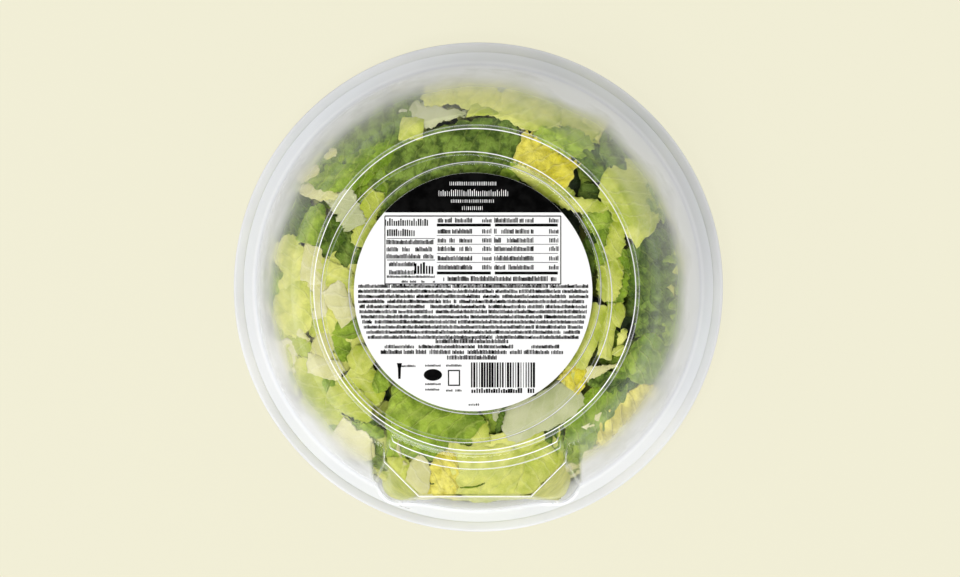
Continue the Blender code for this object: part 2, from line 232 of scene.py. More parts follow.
class NodeSheet:
    """Short calls for building a node tree."""

    def __init__(self, tree: bpy.types.NodeTree) -> None:
        """Keeps the tree that the calls add to."""
        self.tree = tree

    def add(self, kind: str, inputs: dict[str | int, object] | None = None, **settings: object) -> Node:
        """Adds a node.

        Args:
            kind: The node's type name.
            inputs: Values or sockets for its inputs, by name or index.
            **settings: Properties of the node.

        Returns:
            The new node.
        """
        made = self.tree.nodes.new(kind)
        for key, value in settings.items():
            setattr(made, key, value)
        for key, value in (inputs or {}).items():
            if isinstance(value, Socket):
                self.tree.links.new(value, made.inputs[key])
            else:
                made.inputs[key].default_value = value
        return made

    def attribute(self, name: str) -> Socket:
        """Reads a value kept at the vertices."""
        return self.add("ShaderNodeAttribute", attribute_name=name).outputs["Fac"]

    def place(self) -> Socket:
        """The place on the piece, in its own coordinates."""
        return self.add("ShaderNodeTexCoord").outputs["Object"]

    def bump(self, height: Socket, distance: float, strength: float = 1.0) -> Socket:
        """The normal over a relief."""
        inputs = {"Strength": strength, "Distance": distance, "Height": height}
        return self.add("ShaderNodeBump", inputs).outputs[0]

    def principled(self, inputs: dict[str, object]) -> Node:
        """Adds a Principled shader."""
        return self.add("ShaderNodeBsdfPrincipled", inputs)

    def finish(self, shader: Node) -> None:
        """Leads a shader to the material's output."""
        self.add("ShaderNodeOutputMaterial", {0: shader.outputs[0]})

    def maths(self, operation: str, *values: object, clamp: bool = False) -> Socket:
        """Adds a Math node over numbers or sockets, and returns its output."""
        inputs = dict(enumerate(values))
        return self.add("ShaderNodeMath", inputs, operation=operation, use_clamp=clamp).outputs[0]

    def ease(self, value: Socket, low: float, high: float, start: float = 0.0, end: float = 1.0) -> Socket:
        """Maps low to start and high to end, smoothly, and returns the output."""
        inputs = {"Value": value, "From Min": low, "From Max": high, "To Min": start, "To Max": end}
        made = self.add("ShaderNodeMapRange", inputs, interpolation_type="SMOOTHSTEP")
        return made.outputs["Result"]

    def blend(self, share: Socket, first: Socket | Colour, second: Socket | Colour) -> Socket:
        """Mixes two colours by a share, and returns the output."""
        inputs: dict[int, object] = {0: share}
        for slot, value in ((6, first), (7, second)):
            inputs[slot] = value if isinstance(value, Socket) else (*value, 1.0)
        return self.add("ShaderNodeMix", inputs, data_type="RGBA").outputs[2]


def new_material(name: str) -> tuple[Material, NodeSheet]:
    """Makes an empty node material and the sheet for its tree."""
    made = bpy.data.materials.new(name)
    made.use_nodes = True
    made.node_tree.nodes.clear()
    return made, NodeSheet(made.node_tree)


def new_group(
    name: str, inputs: dict[str, tuple[str, float | None]], outputs: Sequence[str]
) -> tuple[NodeSheet, Node, Node]:
    """Makes an empty shader group.

    Args:
        name: The group's name.
        inputs: Socket type and default for each named input.
        outputs: Names of its value outputs.

    Returns:
        The sheet for its tree, its input node and its output node.
    """
    tree = bpy.data.node_groups.new(name, "ShaderNodeTree")
    for key, (kind, value) in inputs.items():
        socket = tree.interface.new_socket(key, in_out="INPUT", socket_type=kind)
        if value is not None:
            socket.default_value = value
    for key in outputs:
        tree.interface.new_socket(key, in_out="OUTPUT", socket_type="NodeSocketFloat")
    sheet = NodeSheet(tree)
    return sheet, sheet.add("NodeGroupInput"), sheet.add("NodeGroupOutput")


class Effects:
    """Shader groups that more than one finish uses, each built once."""

    def __init__(self) -> None:
        """Builds the groups."""
        self.mottle = self._mottle()
        self.blisters = self._blisters()
        self.venation = self._venation()

    @staticmethod
    def _mottle() -> bpy.types.NodeTree:
        """Soft uneven patches."""
        inputs = {"Vector": ("NodeSocketVector", None), "Scale": ("NodeSocketFloat", 1.0)}
        sheet, start, end = new_group("Mottle", inputs, ["Value"])
        wanted = {"Vector": start.outputs["Vector"], "Scale": start.outputs["Scale"], "Detail": 3.0}
        noise = sheet.add("ShaderNodeTexNoise", wanted)
        sheet.tree.links.new(sheet.ease(noise.outputs[0], 0.32, 0.68), end.inputs["Value"])
        return sheet.tree

    @staticmethod
    def _blisters() -> bpy.types.NodeTree:
        """The puffed cells between a leaf's small veins, with a mask of the creases between them for painted
        shade.
        """
        inputs = {"Vector": ("NodeSocketVector", None), "Scale": ("NodeSocketFloat", 2.0)}
        sheet, start, end = new_group("Blisters", inputs, ["Height", "Seam"])
        vector, scale = start.outputs["Vector"], start.outputs["Scale"]
        noise = sheet.add("ShaderNodeTexNoise", {"Vector": vector, "Scale": 1.4, "Detail": 2.0})
        middle = {0: noise.outputs["Color"], 1: (0.5, 0.5, 0.5)}
        shift = sheet.add("ShaderNodeVectorMath", middle, operation="SUBTRACT")
        warp = sheet.add("ShaderNodeVectorMath", {0: shift.outputs[0], "Scale": 0.55}, operation="SCALE")
        place = sheet.add("ShaderNodeVectorMath", {0: vector, 1: warp.outputs[0]}, operation="ADD").outputs[0]
        coarse = {"Vector": place, "Scale": scale, "Smoothness": 0.45}
        fine = {"Vector": place, "Scale": sheet.maths("MULTIPLY", scale, 2.7), "Smoothness": 0.4}
        big, small = (
            sheet.add("ShaderNodeTexVoronoi", sizes, feature="SMOOTH_F1").outputs["Distance"]
            for sizes in (coarse, fine)
        )
        both = sheet.maths("ADD", sheet.maths("MULTIPLY", big, 0.72), sheet.maths("MULTIPLY", small, 0.28))
        sheet.tree.links.new(sheet.maths("SUBTRACT", 1.0, both), end.inputs["Height"])
        sheet.tree.links.new(sheet.ease(both, 0.36, 0.72), end.inputs["Seam"])
        return sheet.tree

    @staticmethod
    def _venation() -> bpy.types.NodeTree:
        """Side veins that branch from a leaf's midrib, which runs along the chart's U."""
        inputs = {
            "Vector": ("NodeSocketVector", None),
            "Spacing": ("NodeSocketFloat", 0.6),
            "Slant": ("NodeSocketFloat", 0.9),
            "Width": ("NodeSocketFloat", 0.1),
        }
        sheet, start, end = new_group("Venation", inputs, ["Mask"])
        vector = start.outputs["Vector"]
        parts = sheet.add("ShaderNodeSeparateXYZ", {0: vector}).outputs
        wander = sheet.add("ShaderNodeTexNoise", {"Vector": vector, "Scale": 1.1, "Detail": 3.0}).outputs[0]
        lean = sheet.maths("MULTIPLY", sheet.maths("ABSOLUTE", parts[1]), start.outputs["Slant"])
        along = sheet.maths("SUBTRACT", parts[0], lean)
        along = sheet.maths("ADD", along, sheet.maths("MULTIPLY", wander, 0.9))
        turns = sheet.maths("FRACT", sheet.maths("DIVIDE", along, start.outputs["Spacing"]))
        away = sheet.maths("ABSOLUTE", sheet.maths("SUBTRACT", turns, 0.5))
        line = sheet.maths("DIVIDE", away, start.outputs["Width"])
        sheet.tree.links.new(sheet.ease(line, 0.0, 1.0, 1.0, 0.0), end.inputs["Mask"])
        return sheet.tree

    def place(self, sheet: NodeSheet, tree: bpy.types.NodeTree, inputs: dict[str, object]) -> Node:
        """Puts one of the groups into a material, and returns its node."""
        return sheet.add("ShaderNodeGroup", inputs, node_tree=tree)

    def mottled(self, sheet: NodeSheet, vector: Socket, scale: float) -> Socket:
        """Puts the soft patches into a material, and returns their value."""
        return self.place(sheet, self.mottle, {"Vector": vector, "Scale": scale}).outputs[0]


@dataclass(frozen=True)
class TabForm:
    """Sizes of the flat-ended tab, each at its top and at its foot."""

    top: float = 62.6 * MM
    foot: float = 10.4 * MM
    half_width: Point = (35.8 * MM, 40.0 * MM)
    reach: Point = (81.5 * MM, 85.6 * MM)
    corner: Point = (13.8 * MM, 8.0 * MM)
    root: float = 40.0 * MM

    def share(self, height: Numbers) -> Array:
        """How far down the tab a height is, from 0 at its top."""
        return (self.top - np.asarray(height, float)) / (self.top - self.foot)

    def outline(self, share: Array, thinner: float, counts: tuple[int, int, int]) -> tuple[Array, Array]:
        """Plan outlines round the tab, one for each share, from its left root to its right root.

        Args:
            share: How far down each outline is.
            thinner: How far inside the tab's skin the outlines are.
            counts: Points along each side, each corner and each half of the end.

        Returns:
            The x and the y of each outline's points, one row for each share.
        """
        share = np.asarray(share, float)[:, None]
        half = self.half_width[0] + share * (self.half_width[1] - self.half_width[0]) - thinner
        reach = self.reach[0] + share * (self.reach[1] - self.reach[0]) - thinner
        corner = self.corner[0] + share * (self.corner[1] - self.corner[0])
        bulge = np.clip(share, 0.0, 1.0)
        side, turn, end = (np.linspace(0.0, 1.0, count, endpoint=False)[None, :] for count in counts)
        arc = turn * math.pi / 2
        flat_x, flat_y = half - turn * corner, corner - reach - turn * corner
        arc_x, arc_y = half - corner + corner * np.cos(arc), corner - reach - corner * np.sin(arc)
        x = [half + 0 * side, flat_x + bulge * (arc_x - flat_x), (half - corner) * (1.0 - end), 0 * half]
        y = [-self.root - side * (reach - corner - self.root), flat_y + bulge * (arc_y - flat_y)]
        y += [-reach + 0 * end, -reach + 0 * half]
        x, y = np.hstack(x), np.hstack(y)
        return np.hstack([-x, x[:, -2::-1]]), np.hstack([y, y[:, -2::-1]])


@dataclass(frozen=True)
class ShoulderForm:
    """The bowl's side in section: one quadratic curve from the foot ring to the flange."""

    start: Point = (64.6 * MM, 64.8 * MM)
    pull: Point = (84.0 * MM, 58.0 * MM)
    end: Point = (88.0 * MM, 12.5 * MM)
    fine: int = 400

    def curve(self, count: int) -> Array:
        """Points down the curve, as radius and height."""
        shares = np.linspace(0.0, 1.0, count)[:, None]
        start, pull, end = (np.array(point) for point in (self.start, self.pull, self.end))
        return bent(start, pull, end, shares)

    def radius(self, height: Numbers) -> Array:
        """The side's radius at a height."""
        curve = self.curve(self.fine)[::-1]
        return np.interp(height, curve[:, 1], curve[:, 0])

    def height(self, radius: Numbers) -> Array:
        """The side's height at a radius."""
        curve = self.curve(self.fine)
        return np.interp(radius, curve[:, 0], curve[:, 1])


@dataclass(frozen=True)
class Ring:
    """A turned step in the base: its centre in plan, its radius at mid-height, and its two heights."""

    centre: Point
    radius: float
    floor: float
    brim: float


TAB = TabForm()
SHOULDER = ShoulderForm()


@dataclass
class Station:
    """One line of points round the bowl, with how sharply the wall turns there and the painted highlight
    along its fold.
    """

    points: Array
    turn: float = 0.0
    fold_highlight: Numbers = 0.0


@dataclass
class Bowl:
    """The clear formed bowl: stepped base, rounded side, tab, flange and lip."""

    panel: Ring = Ring((0.0, 0.6 * MM), 49.1 * MM, 63.0 * MM, 64.0 * MM)
    shelf: Ring = Ring((-3.3 * MM, -3.0 * MM), 56.4 * MM, 64.0 * MM, 66.0 * MM)
    step_run: float = 0.3
    foot: Point = (63.2 * MM, 66.0 * MM)
    collar_radii: Point = (67.8 * MM, 70.6 * MM)
    collar_top: float = 64.5 * MM
    flange_root: Point = (89.0 * MM, 12.3 * MM)
    flange_slope: float = 0.3
    flange_radius: float = 95.4 * MM
    lip_foot: float = 8.6 * MM
    wall_foot: float = 13.6 * MM
    wall: float = 0.5 * MM
    crease: float = 0.3 * MM
    flat: float = 0.2 * MM
    edge_round: float = 0.6 * MM
    plain_columns: int = 250
    tab_columns: tuple[int, int, int] = (26, 26, 26)
    wall_rows: int = 30

    def columns(self) -> tuple[Array, int]:
        """Lays out the columns that every station shares.

        Returns:
            The angle of each column on the base, and how many of them follow the tab.
        """
        x, y = TAB.outline(np.array([0.0]), 0.0, self.tab_columns)
        return self.spread(x[0], y[0], x.shape[1] + self.plain_columns)[1], x.shape[1]

    def side_row(self, height: float, angles: Array) -> Array:
        """The skin's points at a height below the tab's top, round the bowl and its tab."""
        x, y = TAB.outline(np.array([TAB.share(height)]), 0.0, self.tab_columns)
        reach, turn = self.spread(x[0], y[0], len(angles))
        radius = smooth_max(reach, np.full(len(angles), float(SHOULDER.radius(height))), 1.2 * MM)
        return self.ring_row(AXIS, radius, turn, height)

    @staticmethod
    def spread(x: Array, y: Array, count: int) -> tuple[Array, Array]:
        """Polar places of all the columns at one height, from the tab's outline there.

        Args:
            x: The outline's x.
            y: The outline's y.
            count: How many columns there are.

        Returns:
            The tab's reach at each column, 0 beside the tab, and the column's angle.
        """
        reach = np.zeros(count)
        reach[: len(x)] = np.hypot(x, y)
        tab = np.unwrap(np.arctan2(y, x))
        rest = np.linspace(tab[-1], tab[0] + 2 * math.pi, count - len(x) + 2)[1:-1]
        return reach, np.concatenate([tab, rest])

    @staticmethod
    def ring_row(centre: Point, radius: Numbers, angles: Array, height: Numbers) -> Array:
        """Points on a circle in plan, at one height or one for each column."""
        x = centre[0] + radius * np.cos(angles)
        y = centre[1] + radius * np.sin(angles)
        return np.stack([x, y, np.broadcast_to(height, x.shape)], axis=1)

    def base_stations(self, angles: Array) -> list[Station]:
        """The stations from the middle of the label panel to the rounding of the foot ring."""
        middle = self.panel.centre
        rows = [
            Station(self.ring_row(middle, share * self.panel.radius, angles, self.panel.floor))
            for share in (0.0, 0.5, 0.9)
        ]
        # Painted highlights along the steps' folds, a little uneven round the ring.
        glints = 0.8 + 0.2 * ripple(angles / (2 * math.pi) * 3, 0 * angles, 5)
        for ring, strength in ((self.panel, 0.8), (self.shelf, 0.95)):
            run = self.step_run * (ring.brim - ring.floor)
            low = self.ring_row(ring.centre, ring.radius - run, angles, ring.floor)
            high = self.ring_row(ring.centre, ring.radius + run, angles, ring.brim)
            rows.append(Station(low, self.crease, 0.12 * strength * glints))
            rows.append(Station(high, self.crease, strength * glints))
        rows.append(Station(self.ring_row(AXIS, self.foot[0], angles, self.foot[1]), self.crease, glints))
        start = self.ring_row(AXIS, SHOULDER.start[0], angles, SHOULDER.start[1])
        rows.append(Station(start, self.crease, 0.3 * glints))
        return rows

    def top_stations(self, angles: Array) -> list[Station]:
        """The stations across the collar and the tab's top, or down the shoulder beside them."""
        edge = self.side_row(TAB.top, angles)
        reach = np.hypot(edge[:, 0], edge[:, 1])
        in_tab = smooth_step(reach, 71.2 * MM, 76.0 * MM)
        plain = float(SHOULDER.radius(TAB.top)) - SHOULDER.start[0]
        marks = [SHOULDER.start[0] + share * plain for share in (0.35, 0.68)]
        rims = [mark + in_tab * (rim - mark) for mark, rim in zip(marks, self.collar_radii)]
        spans = [(SHOULDER.start[0] + 0 * reach, rims[0], 3), (rims[0], rims[1], 2), (rims[1], reach, 5)]
        rows: list[Station] = []
        for index, (near, far, count) in enumerate(spans):
            for step in range(1, count + 1):
                radius = near + (far - near) * step / count
                rows.append(Station(self.ring_row(AXIS, radius, angles, self.top_height(radius, in_tab))))
            rows[-1].turn = self.crease
            # Painted highlights along the folds of the collar and the tab's top.
            rows[-1].fold_highlight = in_tab * (0.8, 0.4, 1.0)[index]
        return rows

    def top_height(self, radius: Array, in_tab: Array) -> Array:
        """The skin's height over the shoulder, the collar and the tab's top."""
        shoulder = SHOULDER.height(radius)
        collar = np.interp(radius, self.collar_radii, (self.collar_top, TAB.top))
        return shoulder + in_tab * (np.maximum(shoulder, collar) - shoulder)

    def side_stations(self, angles: Array) -> list[Station]:
        """The stations down the side, over the flange and round the lip."""
        curve = SHOULDER.curve(SHOULDER.fine)
        below = curve[(curve[:, 1] < TAB.top - 1.0 * MM) & (curve[:, 1] > self.wall_foot)]
        picks = np.linspace(0, len(below) - 1, self.wall_rows).round().astype(int)
        rows = [Station(self.side_row(float(height), angles)) for height in below[picks, 1]]
        foot = rows[-1].points
        turn = np.arctan2(foot[:, 1], foot[:, 0])
        reach = np.hypot(foot[:, 0], foot[:, 1])
        root = np.maximum(reach + 1.0 * MM, self.flange_root[0])
        # Painted highlight along the flange's root, brightest where the wall meets it, and a fainter one at
        # its edge.
        bump = smooth_step(reach, 88.6 * MM, 89.8 * MM)
        rows.append(Station(self.flange_row(root, turn), 1.0 * MM, 0.12 + 0.7 * bump))
        for share in (0.35, 0.7):
            radius = root + share * (self.flange_radius - self.edge_round - root)
            rows.append(Station(self.flange_row(radius, turn)))
        edge = self.flange_row(self.flange_radius - self.edge_round + 0 * turn, turn)
        rows.append(Station(edge, self.crease, 0.25))
        low = edge[:, 2] - 0.5 * MM
        rows.append(Station(self.ring_row(AXIS, self.flange_radius, turn, low), self.crease))
        rows.append(Station(self.ring_row(AXIS, self.flange_radius, turn, self.lip_foot)))
        return rows

    def flange_row(self, radius: Array, angles: Array) -> Array:
        """Points on the flange, which falls a little towards its edge."""
        height = self.flange_root[1] - self.flange_slope * (radius - self.flange_root[0])
        return self.ring_row(AXIS, radius, angles, height)

    def rounded(self, stations: list[Station]) -> tuple[Array, Array]:
        """Rounds the stations that turn sharply.

        Args:
            stations: The stations from the middle out.

        Returns:
            The rows of points and the painted fold highlight at each.
        """
        rows, fold_highlights = [], []
        for index, station in enumerate(stations):
            here = station.points
            if station.turn == 0.0:
                rows.append(here)
                fold_highlights.append(np.zeros(len(here)))
                continue
            ends, flats = [], []
            for other in (stations[index - 1].points, stations[index + 1].points):
                away = other - here
                length = np.maximum(np.linalg.norm(away, axis=1, keepdims=True), 1e-9)
                ends.append(here + away / length * np.minimum(station.turn, 0.43 * length))
                flats.append(here + away / length * np.minimum(station.turn + self.flat, 0.49 * length))
            bend = [bent(ends[0], here, ends[1], share) for share in (0.0, 0.3, 0.7, 1.0)]
            rows += [flats[0], *bend, flats[1]]
            glow = np.broadcast_to(station.fold_highlight, len(here))
            fold_highlights += [share * glow for share in (0.0, 0.0, 1.0, 1.0, 0.0, 0.0)]
        return np.array(rows), np.array(fold_highlights)

    def edge_highlight(self, rows: Array, columns: int) -> Array:
        """Painted highlight along the tab's upright edges, over the skin's rows and columns."""
        side, turn, _ = self.tab_columns
        glow = np.zeros(rows.shape[:2])
        below = smooth_step(TAB.top - rows[:, :, 2], 0.2 * MM, 1.5 * MM)
        for column in (side, side + turn, columns - 1 - side, columns - 1 - side - turn):
            for offset, strength in ((-1, 0.1), (0, 0.3), (1, 0.1)):
                glow[:, column + offset] = strength * below[:, column + offset]
        return glow * (rows[:, :, 2] > self.wall_foot)

    def haze(self, rows: Array) -> Array:
        """How milky the wall is: clear on the base and the tab, and more so towards the rim."""
        x, y, height = rows[:, :, 0], rows[:, :, 1], rows[:, :, 2]
        radius = np.hypot(x, y)
        outwards = smooth_step(radius, 64.0 * MM, 90.0 * MM)
        rim = smooth_step(radius, 86.5 * MM, 89.5 * MM)
        across_tab = smooth_step(TAB.half_width[1] + 2.0 * MM - np.abs(x), 0.0, 1.5 * MM)
        clear = across_tab * smooth_step(-y, 60.0 * MM, 66.0 * MM) * (height > self.wall_foot)
        rightwards = (0.8 * x + 0.6 * y) / np.maximum(radius, MM)
        patches = 0.9 + 0.25 * ripple(x / (40 * MM), y / (40 * MM), 9) + 0.15 * rightwards
        edge = smooth_step(radius, 92.0 * MM, 94.0 * MM)
        foot = smooth_step(self.wall_foot + 0.4 * MM - height, 0.0, 0.6 * MM)
        foot *= smooth_step(92.0 * MM - radius, 0.0, 2.0 * MM)
        return (outwards * patches + 1.6 * rim) * (1.0 - clear) + 4.0 * foot + 3.0 * edge

    def openness(self, rows: Array) -> Array:
        """The share of what is seen straight through the skin, unbent: high on the tab's steep walls."""
        x, y, height = rows[:, :, 0], rows[:, :, 1], rows[:, :, 2]
        below = smooth_step(TAB.top - height, 0.3 * MM, 1.5 * MM) * (height > self.wall_foot - 1.0 * MM)
        sides = smooth_step(TAB.half_width[1] + 1.5 * MM - np.abs(x), 0.0, 1.0 * MM)
        return 0.8 * below * sides * smooth_step(-y, 58.0 * MM, 62.0 * MM)

    def build(self, finish: Material) -> Piece:
        """Builds the bowl.

        Args:
            finish: The bowl's material.

        Returns:
            The bowl's object.
        """
        angles, count = self.columns()
        stations = self.base_stations(angles) + self.top_stations(angles) + self.side_stations(angles)
        rows, fold_highlights = self.rounded(stations)
        # The tab's upright edges get painted highlights too.
        fold_highlights = np.maximum(fold_highlights, self.edge_highlight(rows, count))
        values = {"fold_highlight": fold_highlights, "haze": self.haze(rows), "open": self.openness(rows)}
        faces = grid_faces(rows.shape[0], rows.shape[1], True)
        piece = mesh_piece("bowl_skin", rows.reshape(-1, 3), faces, finish, values)
        weld(piece)
        solidify(piece, self.wall)
        return piece


class ClearPlastic:
    """The bowl's finish: clear where it is flat, with painted highlights along its folds, and milky towards
    the rim, more so at grazing views, where the milk is partly a painted reflection of the room.
    """

    index: float = 1.47

    def __init__(self, effects: Effects) -> None:
        """Keeps the shared shader groups."""
        self.effects = effects

    def build(self) -> Material:
        """Builds the material, which lets lamps through to what the bowl holds."""
        material, sheet = new_material("clear_plastic")
        fold_highlight = sheet.attribute("fold_highlight")
        haze = sheet.attribute("haze")
        patches = self.effects.mottled(sheet, sheet.place(), 55.0)
        cloud = sheet.maths("MULTIPLY", haze, sheet.maths("MULTIPLY_ADD", patches, 0.3, 0.85))
        # Grazing views mix in more of the milky shader: partly haze, partly a painted reflection of the
        # bright room.
        facing = sheet.add("ShaderNodeLayerWeight", {"Blend": 0.5}).outputs["Facing"]
        grazing = sheet.maths("MULTIPLY", sheet.ease(facing, 0.46, 0.76), 0.9)
        haze_and_highlight = sheet.maths("MULTIPLY", cloud, sheet.maths("ADD", grazing, 0.18))
        opaque = sheet.ease(cloud, 1.2, 3.0)
        # The folds' painted highlights and the opaque rim also call up the milky shader.
        haze_and_highlight = sheet.maths("MAXIMUM", haze_and_highlight, sheet.maths("MAXIMUM", fold_highlight, opaque), clamp=True)
        rough = sheet.maths("MULTIPLY_ADD", cloud, 0.13, 0.015, clamp=True)
        looks = {"Base Color": (0.985, 0.99, 0.985, 1.0), "Roughness": rough, "IOR": self.index}
        clear = sheet.principled({**looks, "Specular IOR Level": 0.3, "Transmission Weight": 1.0})
        # Painted highlight along the folds: whiter milk with a faint glow, though the plastic gives no light.
        white = sheet.blend(fold_highlight, display(238, 240, 246), (1.0, 1.0, 1.0))
        looks = {"Base Color": white, "Roughness": 0.35, "IOR": self.index}
        glint = sheet.maths("MULTIPLY", fold_highlight, 0.3)
        milk_and_glow = sheet.principled({**looks, "Emission Color": (1.0, 1.0, 1.0, 1.0), "Emission Strength": glint})
        body = sheet.add("ShaderNodeMixShader", {0: haze_and_highlight, 1: clear.outputs[0], 2: milk_and_glow.outputs[0]})
        thin = sheet.attribute("open")
        path = sheet.add("ShaderNodeLightPath").outputs
        passes = sheet.maths("MAXIMUM", path["Is Shadow Ray"], path["Is Diffuse Ray"])
        passes = sheet.maths("MAXIMUM", passes, sheet.maths("SUBTRACT", thin, fold_highlight, clamp=True))
        open_air = sheet.add("ShaderNodeBsdfTransparent")
        whole = sheet.add("ShaderNodeMixShader", {0: passes, 1: body.outputs[0], 2: open_air.outputs[0]})
        sheet.finish(whole)
        return material


@dataclass
class Lid:
    """The lid: a dished panel on the table, a flange, and a skirt pressed over the bowl's lip."""

    steps: int = 240
    rounding: float = 0.35 * MM

    def profile(self) -> list[Point]:
        """The lid's section in millimetres: out over the panel, round the skirt and back underneath."""
        return [
            (0.0, 0.8), (60.0, 0.8), (60.6, 0.5), (66.0, 0.5), (66.6, 0.8), (78.6, 0.8), (81.4, 1.6),
            (85.3, 8.3), (87.6, 9.2), (94.6, 8.3), (95.9, 8.3), (95.9, 10.3), (93.0, 10.9), (93.2, 11.2),
            (96.2, 11.3), (97.0, 10.6), (97.0, 7.9), (96.4, 7.5), (86.0, 7.5), (82.2, 0.8), (80.4, 0.0),
            (66.8, 0.0), (66.2, 0.25), (60.4, 0.25), (59.8, 0.0), (0.0, 0.0),
        ]

    def build(self, finish: Material) -> Piece:
        """Builds the lid as one turned shell, with its corners rounded."""
        corners = np.array(self.profile()) * MM
        line = [corners[0]]
        for before, here, after in zip(corners, corners[1:], corners[2:]):
            ends = []
            for other in (before, after):
                length = np.linalg.norm(other - here)
                ends.append(here + (other - here) / length * min(self.rounding, 0.42 * length))
            line += [bent(ends[0], here, ends[1], share) for share in (0.0, 0.5, 1.0)]
        line = np.array([*line, corners[-1]])
        angles = np.linspace(0.0, 2 * math.pi, self.steps, endpoint=False)
        rows = [Bowl.ring_row(AXIS, radius, angles, height) for radius, height in line]
        faces = grid_faces(len(rows), self.steps, True)
        piece = mesh_piece("lid_shell", np.concatenate(rows), faces, finish)
        weld(piece)
        return piece


class MilkyPlastic:
    """The lid's finish: pale, a little cloudy and satin."""

    def __init__(self, effects: Effects) -> None:
        """Keeps the shared shader groups."""
        self.effects = effects

    def build(self) -> Material:
        """Builds the material."""
        material, sheet = new_material("milky_plastic")
        place = sheet.place()
        cloud = self.effects.mottled(sheet, place, 22.0)
        grain = self.effects.mottled(sheet, place, 900.0)
        colour = sheet.blend(cloud, display(228, 229, 234), display(240, 241, 245))
        rough = sheet.maths("MULTIPLY_ADD", grain, 0.1, 0.3)
        looks = {"Base Color": colour, "Roughness": rough, "IOR": ClearPlastic.index}
        sheet.finish(sheet.principled({**looks, "Normal": sheet.bump(grain, 0.05 * MM, 0.15)}))
        return material


class LeafKind(Enum):
    """The kinds of romaine that show."""

    DARK = "dark_leaf"
    MID = "green_leaf"
    LIME = "lime_leaf"
    RIB = "pale_rib"
    HEART = "yellow_heart"
    CREAM = "cream_leaf"


class Cut(Enum):
    """Outlines of a cut piece of leaf."""

    SQUARE = 1
    BLADE = 2
    TIP = 3
    STRIP = 4
    OVAL = 5


@dataclass(frozen=True)
class LeafFinish:
    """How one kind of leaf looks: its colours, with a painted shade for the creases between blisters, its
    blisters to the centimetre and their depth.
    """

    blade: Colour
    tint: Colour
    crease_shade: Colour
    vein: Colour
    blisters: float
    depth: float
    crease_shade_share: float
    vein_share: float
    rough: float = 0.42

    def build(self, name: str, effects: Effects) -> Material:
        """Builds the material.

        Args:
            name: The material's name.
            effects: The shared shader groups.

        Returns:
            The material.
        """
        material, sheet = new_material(name)
        chart = sheet.add("ShaderNodeUVMap", uv_map="surface").outputs[0]
        tone = sheet.attribute("tone")
        mottle = effects.mottled(sheet, chart, 1.3)
        fibre = effects.mottled(sheet, chart, 11.0)
        cells = effects.place(sheet, effects.blisters, {"Vector": chart, "Scale": self.blisters}).outputs
        branching = {"Vector": chart, "Spacing": 0.62, "Width": 0.13}
        veins = effects.place(sheet, effects.venation, branching).outputs[0]
        patch = sheet.maths("MULTIPLY_ADD", sheet.maths("SUBTRACT", mottle, 0.5), 0.5, tone, clamp=True)
        colour = sheet.blend(patch, self.blade, self.tint)
        layers = [
            # Painted shade in the creases between the blisters.
            (cells["Seam"], self.crease_shade_share, self.crease_shade),
            (veins, self.vein_share, self.vein),
            (fibre, 0.12, self.vein),
            (sheet.attribute("rib"), 1.0, self.vein),
            (sheet.attribute("edge"), 0.35, self.vein),
            # Painted shade: deeper leaves darken towards a near-black green.
            (sheet.attribute("shade"), 0.7, display(24, 36, 12)),
        ]
        for mask, share, over in layers:
            colour = sheet.blend(sheet.maths("MULTIPLY", mask, share), colour, over)
        off_rib = sheet.maths("SUBTRACT", 1.0, sheet.attribute("rib"))
        puffs = sheet.maths("MULTIPLY", cells["Height"], off_rib)
        ridges = sheet.maths("MULTIPLY_ADD", veins, 0.25, puffs)
        relief = sheet.maths("MULTIPLY_ADD", fibre, 0.06, ridges)
        looks = {"Base Color": colour, "Roughness": self.rough, "Specular IOR Level": 0.2}
        sheet.finish(sheet.principled({**looks, "Normal": sheet.bump(relief, self.depth)}))
        return material


# Each kind: blade, tint, painted crease shade and vein colours, then its blisters.
FINISHES: dict[LeafKind, LeafFinish] = {
    LeafKind.DARK: LeafFinish(
        display(78, 108, 24), display(134, 160, 66), display(30, 54, 8), display(156, 174, 84),
        blisters=2.4, depth=1.3 * MM, crease_shade_share=0.8, vein_share=0.25,
    ),
    LeafKind.MID: LeafFinish(
        display(118, 150, 28), display(166, 190, 66), display(70, 102, 12), display(196, 208, 108),
        blisters=2.0, depth=1.1 * MM, crease_shade_share=0.6, vein_share=0.28,
    ),
    LeafKind.LIME: LeafFinish(
        display(172, 186, 52), display(228, 228, 124), display(132, 152, 30), display(226, 228, 156),
        blisters=1.7, depth=0.6 * MM, crease_shade_share=0.35, vein_share=0.25,
    ),
    LeafKind.RIB: LeafFinish(
        display(176, 184, 126), display(204, 206, 162), display(150, 162, 98), display(216, 216, 184),
        blisters=0.9, depth=0.3 * MM, crease_shade_share=0.3, vein_share=0.2,
    ),
    LeafKind.HEART: LeafFinish(
        display(226, 214, 46), display(244, 234, 116), display(160, 150, 18), display(246, 238, 150),
        blisters=2.4, depth=1.3 * MM, crease_shade_share=0.6, vein_share=0.25,
    ),
    LeafKind.CREAM: LeafFinish(
        display(214, 212, 136), display(230, 226, 178), display(188, 186, 98), display(236, 232, 200),
        blisters=1.2, depth=0.45 * MM, crease_shade_share=0.35, vein_share=0.25,
    ),
}

THICKNESS: dict[LeafKind, float] = {
    LeafKind.DARK: 0.4 * MM,
    LeafKind.MID: 0.4 * MM,
    LeafKind.LIME: 0.5 * MM,
    LeafKind.RIB: 2.0 * MM,
    LeafKind.HEART: 0.4 * MM,
    LeafKind.CREAM: 1.1 * MM,
}


